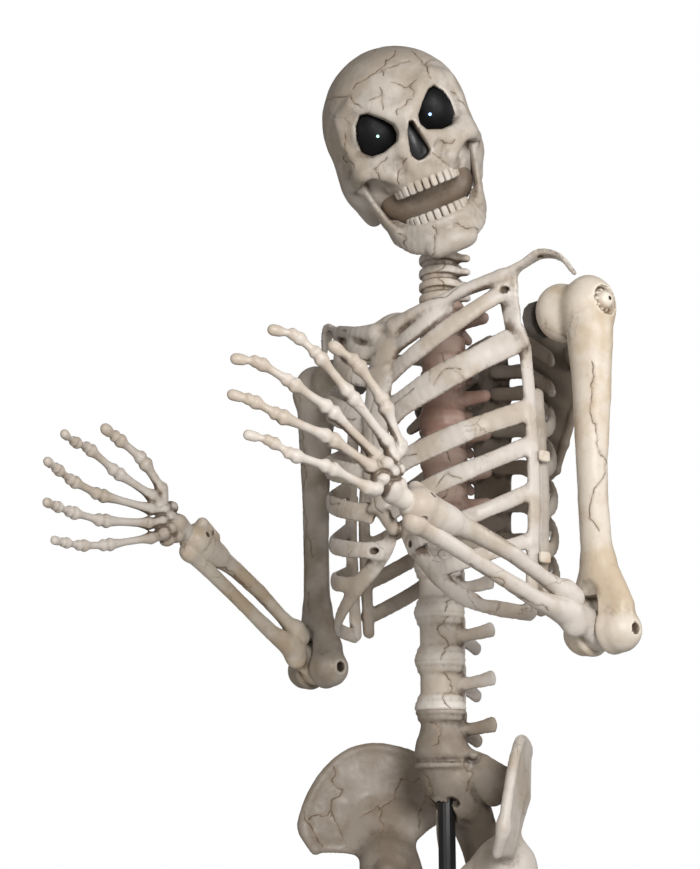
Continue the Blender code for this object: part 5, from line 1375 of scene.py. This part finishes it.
def leg(side, material):
    hip, knee, ankle = [np.array(mirrored(legPlan[key], side)) for key in ("hip", "knee", "ankle")]
    sign = sides[side]
    out, up, ahead = np.array((sign, 0.0, 0.0)), np.array((0, 0, 1.0)), np.array((0, -1.0, 0))
    low, high = np.minimum(hip, knee) - (0.075, 0.08, 0.02), np.maximum(hip, knee) + (0.12, 0.08, 0.065)
    if side == "right":
        low, high = np.minimum(hip, knee) - (0.12, 0.08, 0.02), np.maximum(hip, knee) + (0.075, 0.08, 0.065)
    thigh = Clay(low, high, 0.0055)
    thigh.ball(hip, 0.0455)
    thigh.rod([hip, hip + out * 0.055 - up * 0.045], [0.025, 0.032], 0.016)
    thigh.ball(hip + out * 0.075 + (0, 0.010, -0.020), (0.028, 0.034, 0.040), blend=0.020)
    thigh.ball(hip + out * 0.030 + (0, 0.028, -0.085), (0.018, 0.016, 0.022), blend=0.016)
    shaft = smoothPath([hip + out * 0.056 - up * 0.06, hip * 0.65 + knee * 0.35 + out * 0.026 + ahead * 0.020,
                        hip * 0.30 + knee * 0.70 + out * 0.008 + ahead * 0.016, knee + up * 0.08], 3)
    thigh.rod(shaft, [0.040, 0.032, 0.029, 0.028, 0.0285, 0.032, 0.040], 0.016)
    for way in (1, -1):
        thigh.ball(knee + out * 0.029 * way + (0, 0.012, 0.046), (0.029, 0.050, 0.040), blend=0.010)
        thigh.ball(knee + out * 0.044 * way + (0, 0.004, 0.060), (0.015, 0.020, 0.022), blend=0.012)
    thigh.ball(knee + (0, -0.046, 0.052), (0.010, 0.014, 0.030), blend=0.014, carve=True)
    thigh.ball(knee + (0, 0.062, 0.040), (0.014, 0.024, 0.030), blend=0.012, carve=True)
    for i, line in enumerate(armCracks):
        thigh.crack(roundTheBone(shaft, out, line, 0.032), 0.16, 340 + i)
    thigh.skin("thigh_shell_" + side, material, "stand_and_torso", 0.0008, "femur_" + side)
    low, high = np.minimum(ankle, knee) - (0.085, 0.10, 0.02), np.maximum(ankle, knee) + (0.085, 0.08, 0.075)
    shin = Clay(low, high, 0.0055)
    shin.ball(knee + (0, 0.008, -0.036), (0.058, 0.049, 0.030), blend=0.016)
    shin.ball(knee + (0, -0.072, 0.028), (0.027, 0.018, 0.033), blend=0.008)
    shin.rod([knee + (0, -0.070, 0.01), knee + (0, -0.046, -0.06)], [0.013, 0.018], 0.012)
    shin.rod([knee - up * 0.05, knee + (0, -0.012, -0.16), knee * 0.45 + ankle * 0.55,
              ankle + (0, -0.01, 0.09), ankle + (0, -0.01, 0.038)], [0.046, 0.033, 0.0255, 0.027, 0.038],
             0.018)
    shin.ball(ankle - out * 0.030 + (0, -0.004, 0.018), (0.015, 0.020, 0.026), blend=0.010)
    shin.rod(smoothPath([knee + out * 0.050 + (0, 0.030, -0.05),
                         knee * 0.5 + ankle * 0.5 + out * 0.055 + (0, 0.018, 0),
                         ankle + out * 0.034 + (0, 0, 0.015)], 3),
             [0.019, 0.0125, 0.0115, 0.0115, 0.0125, 0.018], 0.008)
    shin.ball(ankle + (0, -0.004, -0.030), (0.040, 0.055, 0.036), blend=0.004, carve=True)
    for i, line in enumerate(armCracks):
        shin.crack(roundTheBone([knee - up * 0.04, ankle + up * 0.05], -out, line, 0.03), 0.16, 360 + i)
    shin.skin("shin_shell_" + side, material, "stand_and_torso", 0.0008, "shin_" + side)
    sole = legPlan["sole"]
    foot = Clay((ankle[0] - 0.095, ankle[1] - 0.395, sole - 0.012),
                (ankle[0] + 0.095, ankle[1] + 0.135, 0.195), 0.0040)
    foot.ball(ankle + (0, 0, -0.045), (0.038, 0.056, 0.040), blend=0.016)
    foot.ball(ankle + (0, -0.004, -0.022), (0.026, 0.036, 0.020), blend=0.012)
    foot.ball(ankle + (0, 0.060, -0.076), (0.031, 0.050, 0.050), blend=0.020)
    foot.ball(ankle + (0, -0.060, -0.062), (0.046, 0.050, 0.034), blend=0.012)
    for k in range(5):
        apart = (k - 2) * sign
        foot.ball(ankle + (apart * 0.016, -0.100, -0.066 - 0.004 * abs(k - 2)), (0.013, 0.020, 0.017),
                  blend=0.004)
        knuckle = ankle[1] - 0.265 + 0.014 * abs(k - 0.5) * 1.4
        thick = 0.0175 if k == 0 else 0.0125
        x = ankle[0] + apart * 0.015
        base = np.array((x, ankle[1] - 0.115, sole + 0.050))
        middle = np.array((x + apart * 0.006, ankle[1] - 0.185, sole + 0.036))
        ball = np.array((x + apart * 0.010, knuckle, sole + thick + 0.004))
        foot.rod([base, middle, ball + (0, 0.012, 0.003), ball],
                 [thick * 1.1, thick * 0.72, thick * 0.85, thick * 1.15], 0.006)
        toes = [ball, ball + (0, -0.030, 0.002), ball + (0, -0.058, 0.001), ball + (0, -0.084, 0.0)]
        for a, b in zip(toes, toes[1:]):
            foot.rod([a, a * 0.6 + b * 0.4, b * 0.7 + a * 0.3, b],
                     [thick * 0.98, thick * 0.66, thick * 0.66, thick * 0.90], 0.004)
    foot.plate(square(1), -0.10, 0.0, 0.0005, 0.002, True, (ankle[0], ankle[1], sole))
    foot.cracks((
        [(0.0, 0.0, 0.03), (0.01, -0.05, 0.03), (-0.005, -0.09, 0.02)],
        [(-0.03, 0.05, -0.05), (-0.03, 0.07, -0.08), (-0.02, 0.09, -0.07)],
    ), 0.2, 380, lay=lambda x, y, z: ankle + (x * sign, y, z - 0.03))
    foot.skin("foot_shell_" + side, material, "stand_and_torso", 0.0007, "foot_" + side)


print("legs")
for side in sides:
    leg(side, paleBone)


# ---- stand: the tubes keep their CAD shape, with welds, bolts, end caps and clips added
print("stand")
steelNodes = [name for name in frame["nodes"] if name.startswith(("base_", "pole_", "support_pole"))]
otherFinishes = {blackAbs: ["battery_box", "head_swivel", "wrist_pin_left", "wrist_pin_right"],
                 greyAbs: ["shoulder_block_left", "shoulder_block_right"], cableSleeve: ["eye_cable"]}
for finish, names in ((powderCoat, steelNodes), *otherFinishes.items()):
    for name in names:
        mesh = frame["nodes"][name].data
        mesh.materials.clear()
        mesh.materials.append(finish)
rail = {side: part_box("base_rail_" + side) for side in sides}
boltSpots = []
for side in sides:
    low, high = rail[side]
    for bar in ("front", "rear"):
        barLow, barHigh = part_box("base_crossbar_" + bar)
        boltSpots.append(((low.x + high.x) / 2, (barLow.y + barHigh.y) / 2, high.z + 0.0015))
for x in (-0.046, 0.046):
    for y in (-0.026, 0.026):
        boltSpots.append((x, y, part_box("base_crossbar_rear")[1].z + 0.0255))
grown("frame_bolts", facedPoints(boltSpots, (0, 0, 1), (1, 0, 0)), darkScrewTree,
      {"Size": (0.0075, 0.0075, 0.005), "Seed": 1}, blackAbs, "stand_and_torso")
capSpots, capFacing = [], []
for side in sides:
    low, high = rail[side]
    for y, way in ((low.y + 0.0005, -1), (high.y - 0.0005, 1)):
        capSpots.append(((low.x + high.x) / 2, y, 0.020))
        capFacing.append((0, way, 0))
grown("rail_end_caps", facedPoints(capSpots, capFacing, (0, 0, 1)), copiesTree("caps", softCube, blackAbs),
      {"Size": (0.0186, 0.0186, 0.0045), "Seed": 2}, blackAbs, "stand_and_torso")


def ringAround(name, z, radius, thick, material, spot=(0, 0)):   # a rolled ring or tie round the pole
    clay = Clay((spot[0] - radius - 0.03, spot[1] - radius - 0.03, z - 0.03),
                (spot[0] + radius + 0.03, spot[1] + radius + 0.03, z + 0.03), 0.0022)
    ring = [(spot[0] + radius * math.cos(k * math.tau / 32),
             spot[1] + radius * math.sin(k * math.tau / 32), z) for k in range(33)]
    clay.strap(ring, thick, 0.0016, (0, 0, 1), 0.002)
    clay.skin(name, material, "stand_and_torso", 0.0002)


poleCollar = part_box("support_pole_upper")[0].z
ringAround("pole_collar", poleCollar, 0.0172, 0.014, powderCoat)
for k, z in enumerate((1.700, 1.500)):
    ringAround(f"pole_tie_{k}", z, poleBore, 0.0030, blackAbs)
ringAround("socket_weld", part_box("base_crossbar_rear")[1].z + 0.026, 0.0262, 0.0022, powderCoat)

# seam clips: a small bridge with a lug, one over each pair of rib shells
clipSpots, clipFacing = [], []
for side in sides:
    for level in ("upper", "lower"):
        low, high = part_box(f"rib_clip_{level}_{side}")
        clipSpots.append(tuple((low + high) / 2))
        clipFacing.append((sides[side], 0, 0))
grown("seam_clips", facedPoints(clipSpots, clipFacing, (0, 1, 0)), blockTree,
      {"Size": (0.0135, 0.0105, 0.0038), "Seed": 4}, clipBone, "stand_and_torso",
      *[f"rib_clip_{level}_{side}" for side in sides for level in ("upper", "lower")])


# ---- floor, lights, world and camera
print("studio")
floorMesh = bpy.data.meshes.new("studio_floor")
floorMesh.from_pydata([(-12, -12, -0.0005), (12, -12, -0.0005), (12, 12, -0.0005), (-12, 12, -0.0005)],
                      [], [(0, 1, 2, 3)])
studioFloor = bpy.data.objects.new("studio_floor", floorMesh)
scene.collection.objects.link(studioFloor)
floorMesh.materials.append(plainFinish("painted_floor", ("#e9e8e6", "#efeeec"), 400, (0.6, 0.7), 4.0, 0.0002))
lights = {   # place, aim, size and watts
    "key": ((3.2, -1.6, 3.1), (0.0, -0.1, 2.8), 1.3, 118),
    "front_fill": ((0.6, -3.6, 2.6), (0.0, 0.0, 2.7), 2.0, 26),
    "side_rim": ((2.4, 1.6, 3.4), (0.1, 0.0, 2.8), 1.4, 30),
    "back_rim": ((-2.4, 2.2, 3.6), (0.0, 0.0, 2.6), 1.6, 26),
}
for name, (spot, aim, size, watts) in lights.items():
    lamp = bpy.data.lights.new(name, "AREA")
    lamp.shape = "DISK"
    lamp.size = size
    lamp.energy = watts
    lamp.color = (1.0, 0.96, 0.91) if name == "front_fill" else (1, 1, 1)
    holder = bpy.data.objects.new(name, lamp)
    scene.collection.objects.link(holder)
    holder.location = spot
    holder.rotation_euler = (Vector(aim) - Vector(spot)).to_track_quat("-Z", "Y").to_euler()
world = bpy.data.worlds.new("studio")
scene.world = world
world.use_nodes = True
skyTree = world.node_tree
sky = skyTree.nodes["Background"]
sky.inputs["Color"].default_value = (1, 1, 1, 1)
ray = addNode(skyTree, "ShaderNodeLightPath").outputs["Is Camera Ray"]
skyTree.links.new(addNode(skyTree, "ShaderNodeMapRange", {}, {0: ray, 3: 0.17, 4: 1.0}).outputs[0],
                  sky.inputs["Strength"])

cameraData = bpy.data.cameras.new("camera")
cameraData.lens = 68.07
camera = bpy.data.objects.new("camera", cameraData)
scene.collection.objects.link(camera)
camera.location = (2.295, -2.1277, 2.01)
camera.rotation_euler = Vector((-0.75055, 0.61990, 0.22890)).to_track_quat("-Z", "Y").to_euler()
scene.camera = camera
scene.view_settings.view_transform = "Standard"
